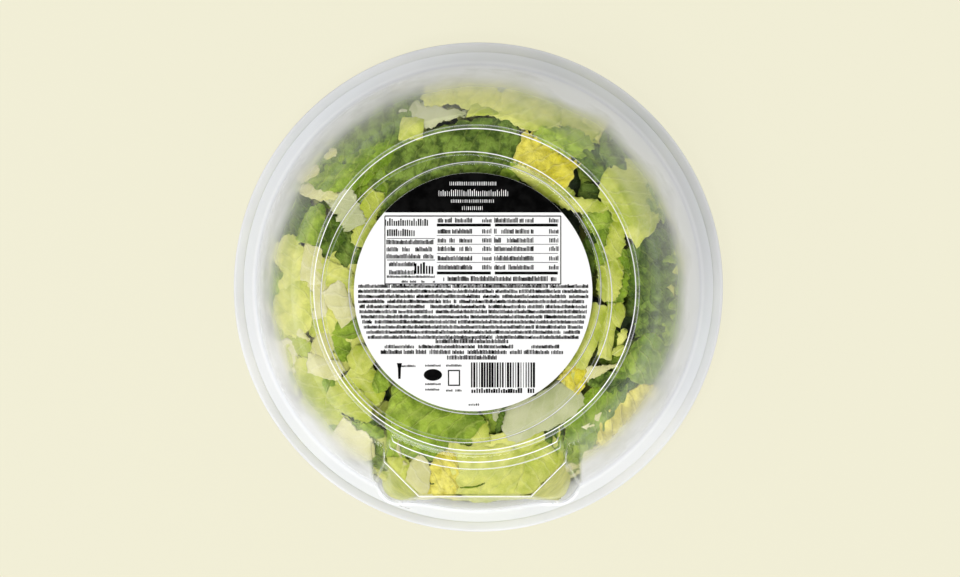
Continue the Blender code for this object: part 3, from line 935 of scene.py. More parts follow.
@dataclass(frozen=True)
class Leaf:
    """One cut piece, as seen from above. Lengths are in millimetres, and its turn is in degrees."""

    kind: LeafKind
    x: float
    y: float
    turn: float
    length: float
    width: float
    depth: float = 1.4
    frill: float = 0.3
    cut: Cut = Cut.BLADE
    rib: float = 0.0
    bend: float = 0.0
    tone: float = -1.0
    curl: float = 1.0


DARK, MID, LIME = LeafKind.DARK, LeafKind.MID, LeafKind.LIME
RIB, HEART, CREAM = LeafKind.RIB, LeafKind.HEART, LeafKind.CREAM
SQUARE, BLADE, TIP, STRIP, OVAL = Cut.SQUARE, Cut.BLADE, Cut.TIP, Cut.STRIP, Cut.OVAL

SHOWN_LEAVES: list[Leaf] = [
    # Upper left, from the side to the label
    Leaf(DARK, -45, 63, 34, 58, 25, 0.7, 0.1, OVAL, 0.3, 0, 0.9),
    Leaf(MID, -43, 52, 12, 24, 13, 0.8, 0.8, OVAL),
    Leaf(LIME, -25, 63.5, 5, 9.6, 9.8, 0.35, 0.1, SQUARE),
    Leaf(RIB, -13.5, 69, 10, 20, 13, 0.6, 0.4, TIP, 0.0, 0, 0.9),
    Leaf(RIB, -21.5, 74, 28, 17, 10, 0.9, 0.7, OVAL, 0.0, 0, 0.6),
    Leaf(LIME, -11, 79, 10, 24, 11, 0.7, 0.5, OVAL, 0.0, 0, 1.1),
    Leaf(LIME, 7, 78, -6, 32, 17, 0.5, 0.2, OVAL, 0.2, 0, 1.1),
    Leaf(LIME, 4, 70.5, -14, 13, 8.5, 0.35, 0.1, TIP),
    Leaf(LIME, 22, 71, -30, 26, 18, 0.4, 0.2, BLADE, 0.3, 0, 0.7),
    Leaf(DARK, 12, 66.5, 92, 10, 13, 1.3, 0.1, TIP),
    Leaf(DARK, -12.5, 51, 17, 64, 25, 1.2, 0.6, SQUARE, 0.0, -3, 0.75),
    Leaf(MID, -40, 38, 52, 22, 13, 1.5, 0.6, SQUARE),
    Leaf(MID, -53, 44.5, 10, 27, 13, 0.6, 0.6, OVAL, 0.3),
    Leaf(CREAM, -62, 38.5, -8, 18, 6.5, 0.5, 0.9, OVAL),
    Leaf(CREAM, -68, 46, 24, 12, 6, 0.6, 0.8, OVAL),
    Leaf(CREAM, -57.5, 53.5, 30, 7, 3, 0.4, 0.8, OVAL),
    Leaf(MID, -60, 47, 40, 20, 13, 1.0, 0.6, OVAL, 0.3, 0, 0.5),
    Leaf(RIB, -50, 31, -66, 15, 10.5, 0.35, 1.2, SQUARE, 0.0, 0, 0.75),
    Leaf(DARK, -72.5, 28, 76, 23, 15, 0.8, 0.2, OVAL, 0.3, 0, 0.0),
    Leaf(MID, -64, 26, 72, 17, 10, 0.5, 0.4, BLADE, 0.3, 0, 0.6),
    Leaf(DARK, -57, 20, 60, 20, 12, 1.3, 0.4, OVAL, 0.0, 0, 0.2),
    Leaf(LIME, -42.5, 28, 70, 23, 8, 0.7, 0.8, STRIP, 0.0, 0, 0.3),
    Leaf(DARK, -50.5, 13, 80, 20, 12, 1.4, 0.2, SQUARE, 0.5),
    # Left
    Leaf(LIME, -55, 5, -24, 18, 10, 0.7, 0.3, BLADE, 0.4, 0, 0.8),
    Leaf(LIME, -53.5, -1, 88, 38, 15, 1.2, 0.1, SQUARE, 0.0, 0, 1.1),
    Leaf(CREAM, -63, -1, 86, 22, 12, 1.0, 0.2, OVAL),
    Leaf(CREAM, -64.5, 10, 84, 15, 9, 0.5, 0.1, SQUARE),
    Leaf(LIME, -75, 10, 88, 27, 15, 0.6, 0.3, OVAL, 0.2, 0, 1.0),
    Leaf(CREAM, -53, -5.5, -58, 16, 9, 0.3, 0.1, SQUARE),
    Leaf(LIME, -62, -9, 88, 20, 9, 1.3, 0.3, STRIP),
    Leaf(LIME, -72, -7, 92, 24, 18, 0.6, 0.2, OVAL, 0.3, 0, 0.9),
    Leaf(MID, -49.5, -15, -30, 10, 9, 0.8, 0.2, BLADE),
    Leaf(MID, -53, -21.5, -74, 15, 8, 1.2, 0.2, OVAL),
    Leaf(CREAM, -60, -23, 70, 12, 9, 0.9, 0.2, BLADE),
    Leaf(CREAM, -68.5, -18, -30, 8, 5, 0.5, 0.3, TIP),
    Leaf(LIME, -70.5, -22, -22, 14, 9, 0.9, 0.2, OVAL, 0.0, 0, 0.1),
    Leaf(CREAM, -59.5, -31, -16, 15, 8, 0.5, 0.2, SQUARE),
    Leaf(LIME, -52, -24, 60, 26, 13, 1.5, 0.3, OVAL, 0.0, 0, 0.8),
    Leaf(LIME, -45, -27.5, 66, 11, 10.5, 0.25, 0.1, OVAL, 0.3, 0, 0.4),
    Leaf(LIME, -43, -38, -48, 18, 14, 0.9, 0.5, BLADE, 0.3, 0, 0.2),
    Leaf(MID, -57, -38, 20, 9, 8, 1.0, 0.3, BLADE),
    Leaf(LIME, -66, -38, -62, 24, 12, 0.8, 0.3, OVAL, 0.0, 0, 0.35),
    Leaf(LIME, -49, -44.5, -32, 20, 12, 0.5, 1.0, BLADE, 0.2, 0, 0.3),
    Leaf(DARK, -45, -52, -8, 14, 6, 1.6, 0.3, OVAL),
    Leaf(MID, -43, -56, -8, 15, 7, 1.1, 0.3, OVAL),
    Leaf(CREAM, -48.5, -62, -34, 19, 13, 0.3, 0.4, BLADE),
    Leaf(LIME, -58, -54, -44, 24, 13, 1.1, 0.3, OVAL, 0.0, 0, 0.35),
    # Below the label
    Leaf(MID, -15, -51.5, -11, 40, 20, 0.7, 0.4, BLADE, 0.2, 0, 0.6),
    # A thin dark strip: painted shade for a crack between leaves.
    Leaf(DARK, 10, -51.5, 76, 11, 2.4, 0.3, 0.8, OVAL, 0.0, 0, 0.1),
    Leaf(LIME, 3.5, -55.5, 75, 8.5, 7.5, 0.35, 0.1, TIP),
    Leaf(RIB, 26, -48, 28, 35, 15, 0.6, 0.0, SQUARE),
    Leaf(LIME, 13, -60.5, 6, 30, 9, 0.8, 0.2, STRIP, 0.3, 0, 0.8),
    Leaf(MID, 6, -52, 20, 14, 10, 1.6, 0.2, OVAL),
    # Right of the label
    Leaf(LIME, 43.5, -22, 68, 34, 8, 0.5, 0.1, STRIP, 0.3, 1.5, 0.5),
    Leaf(LIME, 52, -16.5, 80, 22, 6, 0.5, 0.1, STRIP, 0.4, -1),
    Leaf(HEART, 39.5, -34, 54, 11, 10, 0.4, 0.4, BLADE),
    Leaf(CREAM, 49.5, -31.5, 14, 13, 6, 0.3, 0.7, TIP),
    Leaf(LIME, 53, 4, 82, 18, 10, 0.5, 1.1, OVAL, 0.3, 0, 0.3),
    Leaf(MID, 56, 4, 86, 24, 9, 1.0, 0.9, OVAL, 0.0, 0, 0.1),
    Leaf(LIME, 56, -9.5, 62, 9, 6, 0.6, 0.3, BLADE),
    Leaf(MID, 62, -27.5, 76, 12, 5, 0.5, 0.2, OVAL, 0.0, -2.5),
    Leaf(LIME, 57.5, -19, 70, 7, 3.5, 0.5, 0.9, OVAL),
    Leaf(LIME, 56.5, -24, 40, 6, 4, 0.4, 0.3, OVAL, 0.8),
    # Side, right
    Leaf(DARK, 69, 8, 84, 32, 20, 1.0, 0.4, OVAL, 0.2),
    Leaf(DARK, 72, -8, 92, 20, 18, 1.2, 0.3, BLADE),
    Leaf(MID, 68, -27.5, 72, 21, 17, 1.0, 0.2, BLADE),
    Leaf(DARK, 54, -37, -12, 21, 9, 0.9, 0.5, OVAL),
    Leaf(MID, 50, -46, 47, 33, 16, 0.8, 0.3, BLADE, 0.2, 0, 0.2),
    Leaf(MID, 44.5, -58, 70, 17, 10, 1.3, 0.3, OVAL, 0.0, 0, 0.3),
    Leaf(MID, 39.5, -59, 76, 20, 9, 0.6, 0.2, OVAL, 0.0, 0, 0.3),
    Leaf(HEART, 60.5, -50.5, 48, 32, 13, 0.6, 0.1, OVAL, 0.0, 0, 0.9),
    Leaf(CREAM, 64, -56.5, 42, 32, 10, 0.25, 0.4, OVAL, 0.0, 0, 0.4),
    Leaf(CREAM, 50, -67, 36, 20, 8, 0.9, 0.2, OVAL),
    # Upper right
    Leaf(HEART, 27.6, 50.6, -29, 24.5, 11.5, 0.3, 1.3, SQUARE),
    Leaf(LIME, 27, 42, -35, 25, 9, 1.0, 0.2, STRIP, 0.6),
    Leaf(MID, 15, 47, -20, 10, 9, 1.2, 0.4, BLADE),
    Leaf(MID, 35, 58.5, -16, 24, 13, 0.5, 0.9, OVAL, 0.0, 0, 0.9),
    Leaf(LIME, 41, 63.5, -46, 22, 15, 1.1, 0.7, OVAL, 0.2),
    Leaf(LIME, 33, 75, -26, 22, 12, 1.2, 0.6, OVAL),
    Leaf(DARK, 47.5, 51, -58, 22, 15, 1.2, 0.3, BLADE, 0.4),
    Leaf(DARK, 54, 54.5, -68, 20, 8, 0.5, 0.2, OVAL, 0.0, 2, 0.7),
    Leaf(DARK, 45.5, 36.5, -50, 12, 9, 2.4, 0.2, OVAL),
    Leaf(LIME, 63, 38, -52, 29, 26, 0.6, 0.1, OVAL, 0.3, 0, 0.1),
    Leaf(LIME, 66, 25, 36, 15, 9, 0.3, 0.1, BLADE, 0.2, 0, 0.3),
    Leaf(LIME, 42.5, 33, -10, 20, 6, 0.4, 0.8, OVAL, 0.0, 0, 0.5),
    Leaf(MID, 48.5, 27, -30, 14, 11, 0.8, 0.7, OVAL, 0.3),
    Leaf(LIME, 55, 19, 82, 17, 7, 0.5, 1.1, OVAL, 0.0, 0, 0.3),
    Leaf(MID, 51.5, 17, 76, 22, 9, 1.0, 0.9, OVAL, 0.0, 0, 0.3),
    Leaf(DARK, 46, 16, 74, 22, 8, 1.6, 0.2, STRIP),
    # Tab
    Leaf(MID, -32, -61, 70, 16, 13, 0.9, 0.3, OVAL, 0.0, 0, 0.8),
    Leaf(LIME, -32, -70, 4, 13, 9, 0.5, 0.3, OVAL, 0.0, 0, 0.7),
    Leaf(CREAM, -22.5, -74.5, 86, 19, 9.5, 0.35, 0.1, OVAL, 0.0, 0, 0.6),
    Leaf(HEART, -12.5, -73, 80, 20, 12, 0.4, 0.6, BLADE, 0.3, 0, 0.8),
    Leaf(LIME, -30, -76, -30, 14, 9, 0.8, 0.3, BLADE, 0.0, 0, 0.5),
    Leaf(MID, -14, -63, -4, 26, 9, 1.3, 0.3, STRIP),
    Leaf(LIME, 7, -72, 2, 34, 22, 0.6, 0.1, SQUARE, 0.2, 0, 0.8),
    Leaf(LIME, 26, -71, 80, 23, 14, 0.3, 0.1, BLADE, 0.1, 0, 0.6),
    Leaf(MID, 34, -62, 74, 16, 8, 0.9, 0.4, STRIP, 0.4),
    Leaf(LIME, 34, -72, 80, 18, 7, 0.6, 0.2, OVAL, 0.0, 0, 0.8),
    Leaf(DARK, 31, -59.5, 62, 17, 9, 0.8, 0.3, OVAL, 0.0, 0, 0.1),
    Leaf(LIME, -3, -76.5, 0, 62, 12, 1.7, 0.1, SQUARE, 0.0, 0, 0.4),
    # Left of the tab
    Leaf(MID, -36, -35, 62, 13, 7, 0.7, 0.3, OVAL, 0.0, 0, 0.5),
]

WALL_OF_TAB: list[Leaf] = [
    # Set by their length round the tab from the middle of its end, and by height
    Leaf(LIME, 8, 36, 88, 46, 30, 0.15, 0.1, SQUARE, 0.2, 0, 0.7),
    Leaf(HEART, -12, 40, 92, 38, 13, 0.1, 0.3, OVAL, 0.0, 0, 0.8),
    Leaf(CREAM, -22, 38, 88, 44, 12, 0.1, 0.1, OVAL, 0.0, 0, 0.6),
    Leaf(LIME, -36, 33, 84, 46, 24, 0.3, 0.1, SQUARE, 0.2, 0, 0.6),
    Leaf(LIME, -54, 37, 96, 46, 19, 0.2, 0.2, OVAL, 0.2, 0, 0.6),
    Leaf(LIME, 32, 35, 92, 48, 27, 0.1, 0.1, OVAL, 0.2, 0, 1.1),
    Leaf(LIME, 50, 36, 86, 46, 22, 0.3, 0.1, OVAL, 0.3, 0, 0.3),
    Leaf(LIME, -10, 22, 4, 34, 17, 0.7, 0.2, OVAL, 0.0, 0, 0.4),
]

# Places in plan and radii, in millimetres, that the filling leaves stay out of, so that the dark core shows
# there as painted shade
GAPS: list[tuple[float, float, float]] = [
    (41, 40, 9.0), (-34.5, -43.5, 3.6), (58.5, -13, 7.0), (65, -17, 6.0), (57, 28, 5.5), (45, 17, 6.0),
]

# Kinds of filling leaf up to each angle, near the label and further out
INNER_KINDS: list[tuple[int, list[LeafKind]]] = [
    (20, [LIME, MID]), (60, [LIME, DARK]), (130, [DARK, MID]), (200, [LIME, CREAM]), (250, [MID, LIME]),
    (310, [MID, RIB]), (360, [LIME, MID]),
]
OUTER_KINDS: list[tuple[int, list[LeafKind]]] = [
    (30, [DARK, MID, LIME]), (75, [LIME, MID]), (110, [LIME, CREAM]), (150, [DARK, MID]),
    (215, [LIME, CREAM]), (260, [LIME, MID]), (320, [HEART, CREAM, MID]), (360, [DARK, MID]),
]

# Kinds, radius in millimetres, count and depth of each ring of filling leaves
FILLING_RINGS: list[tuple[list[tuple[int, list[LeafKind]]], float, int, float]] = [
    (INNER_KINDS, 50, 22, 4.2), (INNER_KINDS, 59, 26, 3.8), (OUTER_KINDS, 68, 28, 3.4),
    (OUTER_KINDS, 75, 30, 3.0), (OUTER_KINDS, 80, 32, 2.4), (OUTER_KINDS, 83.5, 34, 1.8),
]


@dataclass
class Room:
    """The space that the salad fills, just inside the bowl, and how a flat leaf is laid in it."""

    inside: float = 0.7 * MM
    ceiling: float = 61.7 * MM
    steps: int = 600
    smoothing: int = 31

    def __post_init__(self) -> None:
        """Works out the section of the room and its outward directions."""
        bend = SHOULDER.curve(200)
        side = bend[bend[:, 1] < self.ceiling + 0.3 * MM]
        steps = np.gradient(side, axis=0)
        out = np.stack([-steps[:, 1], steps[:, 0]], axis=1)
        side = side - self.inside * out / np.linalg.norm(out, axis=1, keepdims=True)
        side = side[side[:, 1] < self.ceiling]
        line = np.vstack([[0.0, self.ceiling], [side[0, 0] - 0.5 * MM, self.ceiling], side])
        lengths = np.linalg.norm(np.diff(line, axis=0), axis=1)
        self.runs = np.concatenate([[0.0], np.cumsum(lengths)])
        dense = np.linspace(0.0, self.runs[-1], self.steps)
        radius = np.interp(dense, self.runs, line[:, 0])
        height = np.interp(dense, self.runs, line[:, 1])
        slope = np.stack([np.gradient(radius), np.gradient(height)], axis=1)
        normal = np.stack([-slope[:, 1], slope[:, 0]], axis=1)
        kernel = np.hanning(self.smoothing) / np.hanning(self.smoothing).sum()
        for column in range(2):
            padded = np.pad(normal[:, column], self.smoothing // 2, mode="edge")
            normal[:, column] = np.convolve(padded, kernel, mode="valid")
        normal /= np.linalg.norm(normal, axis=1, keepdims=True)
        self.runs, self.line, self.normal = dense, np.stack([radius, height], axis=1), normal

    def lay_round(self, x: Array, y: Array, depth: Array) -> Array:
        """Lays a sheet of the unrolled bowl's inside back into it.

        Args:
            x: Unrolled plan places.
            y: Unrolled plan places.
            depth: How far inside the room's skin each point is.

        Returns:
            The points.
        """
        run = np.clip(np.hypot(x, y), 1e-6, self.runs[-1] - 0.3 * MM)
        radius, height = (np.interp(run, self.runs, self.line[:, i]) for i in (0, 1))
        out, up = (np.interp(run, self.runs, self.normal[:, i]) for i in (0, 1))
        radius, height = radius - out * depth, height - up * depth
        turn = np.arctan2(y, x)
        return np.stack([radius * np.cos(turn), radius * np.sin(turn), height], axis=-1)

    def lay_under(self, x: Array, y: Array, depth: Array) -> Array:
        """Lays a sheet against the bowl so that it keeps its shape in plan.

        Args:
            x: Plan places.
            y: Plan places.
            depth: How far inside the room's skin each point is.

        Returns:
            The points.
        """
        radius = np.maximum(np.hypot(x, y), 1e-6)
        run = np.interp(radius, self.line[:, 0], self.runs)
        return self.lay_round(x / radius * run, y / radius * run, depth)

    def lay_in_tab(self, x: Array, y: Array, depth: Array) -> Array:
        """Lays a flat sheet under the tab's top, pressed in by the tab's walls where it would pass them."""
        height = self.ceiling - depth
        share = TAB.share(height)
        half = TAB.half_width[0] + share * (TAB.half_width[1] - TAB.half_width[0]) - self.inside
        reach = TAB.reach[0] + share * (TAB.reach[1] - TAB.reach[0]) - self.inside
        spare = np.maximum(np.abs(x) - half + 2.0 * MM, 0.0) + np.maximum(-y - reach + 2.0 * MM, 0.0)
        diagonal = (half + reach - TAB.corner[0]) - (np.abs(x) - y)
        spare += np.maximum(2.0 * MM - diagonal, 0.0) * 0.7
        pull = np.maximum(-diagonal, 0.0) * 0.5
        held = smooth_step(np.hypot(x, y), 63.0 * MM, 67.0 * MM)
        pressed_x = np.sign(x) * (np.minimum(np.abs(x), half - 0.3 * spare) - pull)
        pressed_y = np.maximum(y, -reach + 0.3 * spare) + pull
        x, y = x + held * (pressed_x - x), y + held * (pressed_y - y)
        return np.stack([x, y, height - held * spare], axis=-1)

    def lay_round_tab(self, run: Array, height: Array, depth: Array) -> Array:
        """Lays a sheet upright behind the tab's walls.

        Args:
            run: Lengths round the tab's outline from the middle of its end, positive to the right.
            height: Heights above the table.
            depth: How far inside the walls each point is.

        Returns:
            The points.
        """
        places = []
        for along, high, deep in zip(run.ravel(), height.ravel(), depth.ravel()):
            x, y = (line[0] for line in TAB.outline(TAB.share([high]), self.inside + deep, (8, 8, 8)))
            lengths = np.concatenate([[0.0], np.cumsum(np.hypot(np.diff(x), np.diff(y)))])
            lengths -= 0.5 * lengths[-1]
            places.append((np.interp(along, lengths, x), np.interp(along, lengths, y), high))
        return np.array(places).reshape(*run.shape, 3)


@dataclass
class LeafSheet:
    """Turns a cut piece's sizes into a wavy grid of points.

    Along and across count its rows and columns. Relief, shingle and shade say how strongly it
    swells, leans over its neighbour and takes painted shade, darker with depth. Layer is the millimetres for
    each step of depth. Near, also in millimetres, is where the depth eases off towards the wall.
    """

    along: int = 44
    across: int = 30
    relief: float = 0.6
    shingle: float = 0.3
    shade: float = 1.0
    layer: float = 1.7
    near: float = 0.25

    def half_width(self, cut: Cut, a: Array) -> Array:
        """The piece's half width along its length, as a share of its greatest."""
        if cut is BLADE:
            return (1.0 - 0.12 * a) * np.sqrt(np.clip(1.02 - np.clip(a, 0.0, 1.0) ** 2.6, 0.02, 1.0))
        if cut is OVAL:
            return np.sqrt(np.clip(1.03 - np.abs(a) ** 2.4, 0.03, 1.0))
        if cut is TIP:
            return 1.0 - 0.44 * (a + 1.0)
        if cut is STRIP:
            return 1.0 - 0.12 * a * a
        return 1.0 - 0.06 * a

    @staticmethod
    def puckers(leaf: Leaf, along: Array, across: Array, seed: int) -> Array:
        """The small swellings and creases of a leaf, in millimetres."""
        size = {HEART: 5.0, DARK: 6.0, MID: 6.5, LIME: 9.0, CREAM: 12.0, RIB: 16.0}[leaf.kind]
        height = {HEART: 1.1, DARK: 0.6, MID: 0.55, LIME: 0.4, CREAM: 0.2, RIB: 0.12}[leaf.kind]
        soft = ripple(along / (size * MM), across / (size * MM), seed)
        crease = np.abs(ripple(along / (1.6 * size * MM), across / (1.6 * size * MM), seed + 1, 4))
        return height * (0.6 * soft + 1.0 - 1.6 * np.sqrt(crease + 0.02))

    def grid(self, leaf: Leaf, seed: int) -> tuple[Array, Array, Array, dict[str, Array], Array]:
        """Works out a piece on the flat.

        Args:
            leaf: The piece.
            seed: Chooses its waves and its ragged edge.

        Returns:
            Its points along and across, their depths, its vertex values and its chart.
        """
        chance = np.random.default_rng(seed)
        a, b = np.meshgrid(np.linspace(-1, 1, self.along), np.linspace(-1, 1, self.across), indexing="ij")
        skew, lean, tilt = chance.uniform(-0.25, 0.25), chance.uniform(-0.12, 0.12), chance.uniform(-1, 1, 2)
        half_length, half_width = 0.5 * leaf.length * MM, 0.5 * leaf.width * MM
        ragged = 0.08 * ripple(a * leaf.length / 14, b * 0.3, seed + 1)
        ragged += 0.05 * ripple(a * leaf.length / 4.5, b * 0.3, seed + 2)
        along = half_length * (a + 0.06 * ripple(b * leaf.width / 11, a * 0.2, seed + 3) * np.abs(a))
        along += skew * half_width * b * (1.0 if leaf.cut is SQUARE else 0.4)
        across = half_width * (b * (self.half_width(leaf.cut, a) + ragged) + lean * a)
        across += leaf.bend * MM * a * a
        notches = ripple(a * leaf.length / 3.4, np.sign(b), seed + 6) * np.abs(b) ** 6
        across += np.sign(b) * leaf.frill * 0.6 * MM * notches
        rim = np.maximum(np.abs(a), np.abs(b))
        waves = 0.55 * ripple(along / (17 * MM), across / (17 * MM), seed + 4)
        puckers = self.puckers(leaf, along, across, seed + 5)
        ruffle = leaf.frill * np.abs(b) ** 3 * ripple(a * leaf.length / 7.0, b, seed + 8)
        ridge = leaf.rib * np.exp(-((b / 0.22) ** 2)) * (1.0 - 0.3 * a)
        cup = leaf.curl * (0.5 * rim**3 + 0.5 * a * a * b * b)
        lie = self.shingle * (tilt[0] * a + tilt[1] * b)
        swell = self.relief * (waves * (0.5 + 0.6 * leaf.frill) + puckers + 1.1 * ruffle)
        depth = self.layer * leaf.depth + lie + cup + swell - 0.8 * ridge
        near = self.near
        depth = np.where(depth > near, depth, near * np.exp(np.minimum(depth - near, 0.0))) * MM
        values = {
            "tone": (leaf.tone if leaf.tone >= 0.0 else chance.uniform(0.1, 0.9)) - 0.3 * a - 0.15 * b * b,
            "rib": np.clip(leaf.rib, 0, 1) * np.exp(-((b / 0.13) ** 2)) * np.clip(0.9 - 0.4 * a, 0, 1),
            "edge": smooth_step(rim, 0.93, 1.0),
            # Painted shade: deeper leaves darken, as if shadowed by those above.
            "shade": smooth_step(depth, 2.0 * MM, 6.5 * MM) * self.shade,
        }
        chart = np.stack([along, across], axis=-1) * 100 + chance.uniform(0, 40, 2)
        return along, across, depth, values, chart


@dataclass
class Salad:
    """The heap of cut romaine: a core coloured near-black green as painted shade between the leaves, the
    leaves that show, and those that fill in under them.
    """

    effects: Effects
    seed: int = 40
    core_inside: float = 7.4 * MM
    core_foot: Point = (73.5 * MM, 1.1 * MM)
    core_side: Point = (80.4 * MM, 10.0 * MM)
    core_rows: int = 26
    most_points: int = 45_000
    tab_start: float = -44.0
    tab_side: float = 37.0
    tab_run: float = 58.0
    behind_tab: int = 30

    def __post_init__(self) -> None:
        """Sets out the room and the sheets."""
        self.room = Room()
        self.fine = LeafSheet()
        self.plain = LeafSheet(20, 14, 0.5, 1.3, 1.0, 1.35)
        self.lower = LeafSheet(20, 14, 0.6, 1.2, 0.5, 1.2)
        self.placement = Placement("salad")

    def filling(self) -> list[Leaf]:
        """Leaves under and between those that are listed one by one, by region, in a fixed draw."""
        chance = np.random.default_rng(self.seed)
        rows: list[Leaf] = []
        for zone, radius, count, depth in FILLING_RINGS:
            for step in range(count):
                angle = 360.0 * (step + chance.uniform(-0.3, 0.3)) / count % 360.0
                choice = next(names for limit, names in zone if angle <= limit)
                kind = choice[int(chance.integers(len(choice)))]
                x, y = polar(radius + chance.uniform(-1.5, 1.5), angle)
                length, width = chance.uniform(16, 26), chance.uniform(11, 16)
                turn = angle + 90 + chance.uniform(-55, 55)
                cut = (SQUARE, BLADE, OVAL, TIP)[int(chance.integers(4))]
                deep, frill = depth + chance.uniform(-0.7, 0.9), chance.uniform(0.2, 0.8)
                if all(math.hypot(x - gap[0], y - gap[1]) > gap[2] for gap in GAPS):
                    rows.append(Leaf(kind, x, y, turn, length, width, deep, frill, cut))
        return rows

    def wall_leaves(self) -> list[tuple[Leaf, float]]:
        """Leaves down the lower side, each with the length along the section that it lies at."""
        chance = np.random.default_rng(self.seed + 1)
        rows = []
        last = self.room.runs[-1]
        for ring, (share, count) in enumerate(((0.0, 30), (0.3, 28), (0.6, 26), (0.86, 26))):
            run = last - 9.0 * MM - (1.0 - share) * 24.0 * MM
            for step in range(count):
                angle = 360.0 * (step + 0.5 * (ring % 2) + chance.uniform(-0.3, 0.3)) / count
                kind = (DARK, LIME, MID, LIME, CREAM, MID, LIME, RIB)[int(chance.integers(8))]
                turn = angle + 90 + chance.uniform(-60, 60)
                length, width = chance.uniform(20, 30), chance.uniform(13, 18)
                depth, frill = chance.uniform(0.8, 3.2), chance.uniform(0.2, 0.7)
                cut = (BLADE, OVAL, SQUARE)[int(chance.integers(3))]
                rows.append((Leaf(kind, *polar(1.0, angle), turn, length, width, depth, frill, cut), run))
        return rows

    def lay(self, sheet: LeafSheet, leaf: Leaf, seed: int, run: float | None = None) -> Laid:
        """Lays one leaf against the bowl, under the tab's top, or down the side where a run is given.

        Args:
            sheet: The grade of grid.
            leaf: The leaf. With a run, its x and y are its direction from the axis.
            seed: Chooses its waves and edges.
            run: The length along the room's section that it lies at.

        Returns:
            Its points, its vertex values and its chart.
        """
        along, across, depth, values, chart = sheet.grid(leaf, seed)
        flat_x, flat_y = turned(along, across, leaf.turn)
        if run is not None:
            return self.room.lay_round(leaf.x * run + flat_x, leaf.y * run + flat_y, depth), values, chart
        x, y = leaf.x * MM + flat_x, leaf.y * MM + flat_y
        if leaf.y < self.tab_start and abs(leaf.x) < self.tab_side:
            return self.room.lay_in_tab(x, y, depth), values, chart
        return self.room.lay_under(x, y, depth), values, chart

    def tab_leaves(self) -> list[tuple[LeafKind, Laid]]:
        """Leaves that stand behind the tab's walls."""
        chance = np.random.default_rng(self.seed + 2)
        behind = []
        for index in range(self.behind_tab):
            run = 2.0 * self.tab_run * ((index * 7) % self.behind_tab + 0.5) / self.behind_tab - self.tab_run
            high = 20.0 + 36.0 * ((index * 11) % self.behind_tab) / (self.behind_tab - 1)
            kind = (LIME, MID, LIME, DARK, MID, CREAM)[index % 6]
            turn, depth = chance.uniform(30, 150), chance.uniform(1.8, 3.6)
            behind.append(Leaf(kind, run, high, turn, 24, 15, depth, 0.4, OVAL))
        rows = []
        for index, leaf in enumerate([*WALL_OF_TAB, *behind]):
            along, across, depth, values, chart = self.lower.grid(leaf, 900 + index)
            flat_run, flat_high = turned(along, across, leaf.turn)
            height = np.clip(leaf.y * MM + flat_high, 13.0 * MM, 60.5 * MM)
            points = self.room.lay_round_tab(leaf.x * MM + flat_run, height, depth)
            rows.append((leaf.kind, (points, values, chart)))
        return rows

    def build_leaves(self) -> list[Piece]:
        """Builds the leaves, joined by kind."""
        laid: dict[LeafKind, list[Laid]] = {kind: [] for kind in LeafKind}
        jobs: list[tuple[LeafSheet, Leaf, float | None]] = [(self.fine, leaf, None) for leaf in SHOWN_LEAVES]
        jobs += [(self.plain, leaf, None) for leaf in self.filling()]
        jobs += [(self.lower, leaf, run) for leaf, run in self.wall_leaves()]
        for index, (sheet, leaf, run) in enumerate(jobs):
            laid[leaf.kind].append(self.lay(sheet, leaf, 100 + 10 * index, run))
        for kind, leaf_laid in self.tab_leaves():
            laid[kind].append(leaf_laid)
        pieces = []
        for kind, sheets in laid.items():
            finish = FINISHES[kind].build(kind.value, self.effects)
            if sum(sheet[0].size // 3 for sheet in sheets) < self.most_points:
                pieces.append(self.join_leaves(kind.value, finish, THICKNESS[kind], sheets))
                continue
            for half, suffix in enumerate(("", "_more")):
                pieces.append(self.join_leaves(kind.value + suffix, finish, THICKNESS[kind], sheets[half::2]))
        return pieces

    def join_leaves(self, name: str, finish: Material, thickness: float, sheets: list[Laid]) -> Piece:
        """Joins leaves into one piece and gives them their thickness.

        Args:
            name: The piece's name.
            finish: Its material.
            thickness: How thick a leaf is.
            sheets: The points, vertex values and chart of each leaf.

        Returns:
            The piece, settled in the salad's place.
        """
        points = np.concatenate([sheet[0].reshape(-1, 3) for sheet in sheets])
        chart = np.concatenate([sheet[2].reshape(-1, 2) for sheet in sheets])
        values = {key: np.concatenate([sheet[1][key].ravel() for sheet in sheets]) for key in sheets[0][1]}
        faces, first = [], 0
        for sheet in sheets:
            rows, columns = sheet[0].shape[:2]
            faces.append(grid_faces(rows, columns, False, first))
            first += rows * columns
        piece = mesh_piece(name, points, np.concatenate(faces), finish, values, chart)
        solidify(piece, thickness)
        return self.placement.settle(piece)

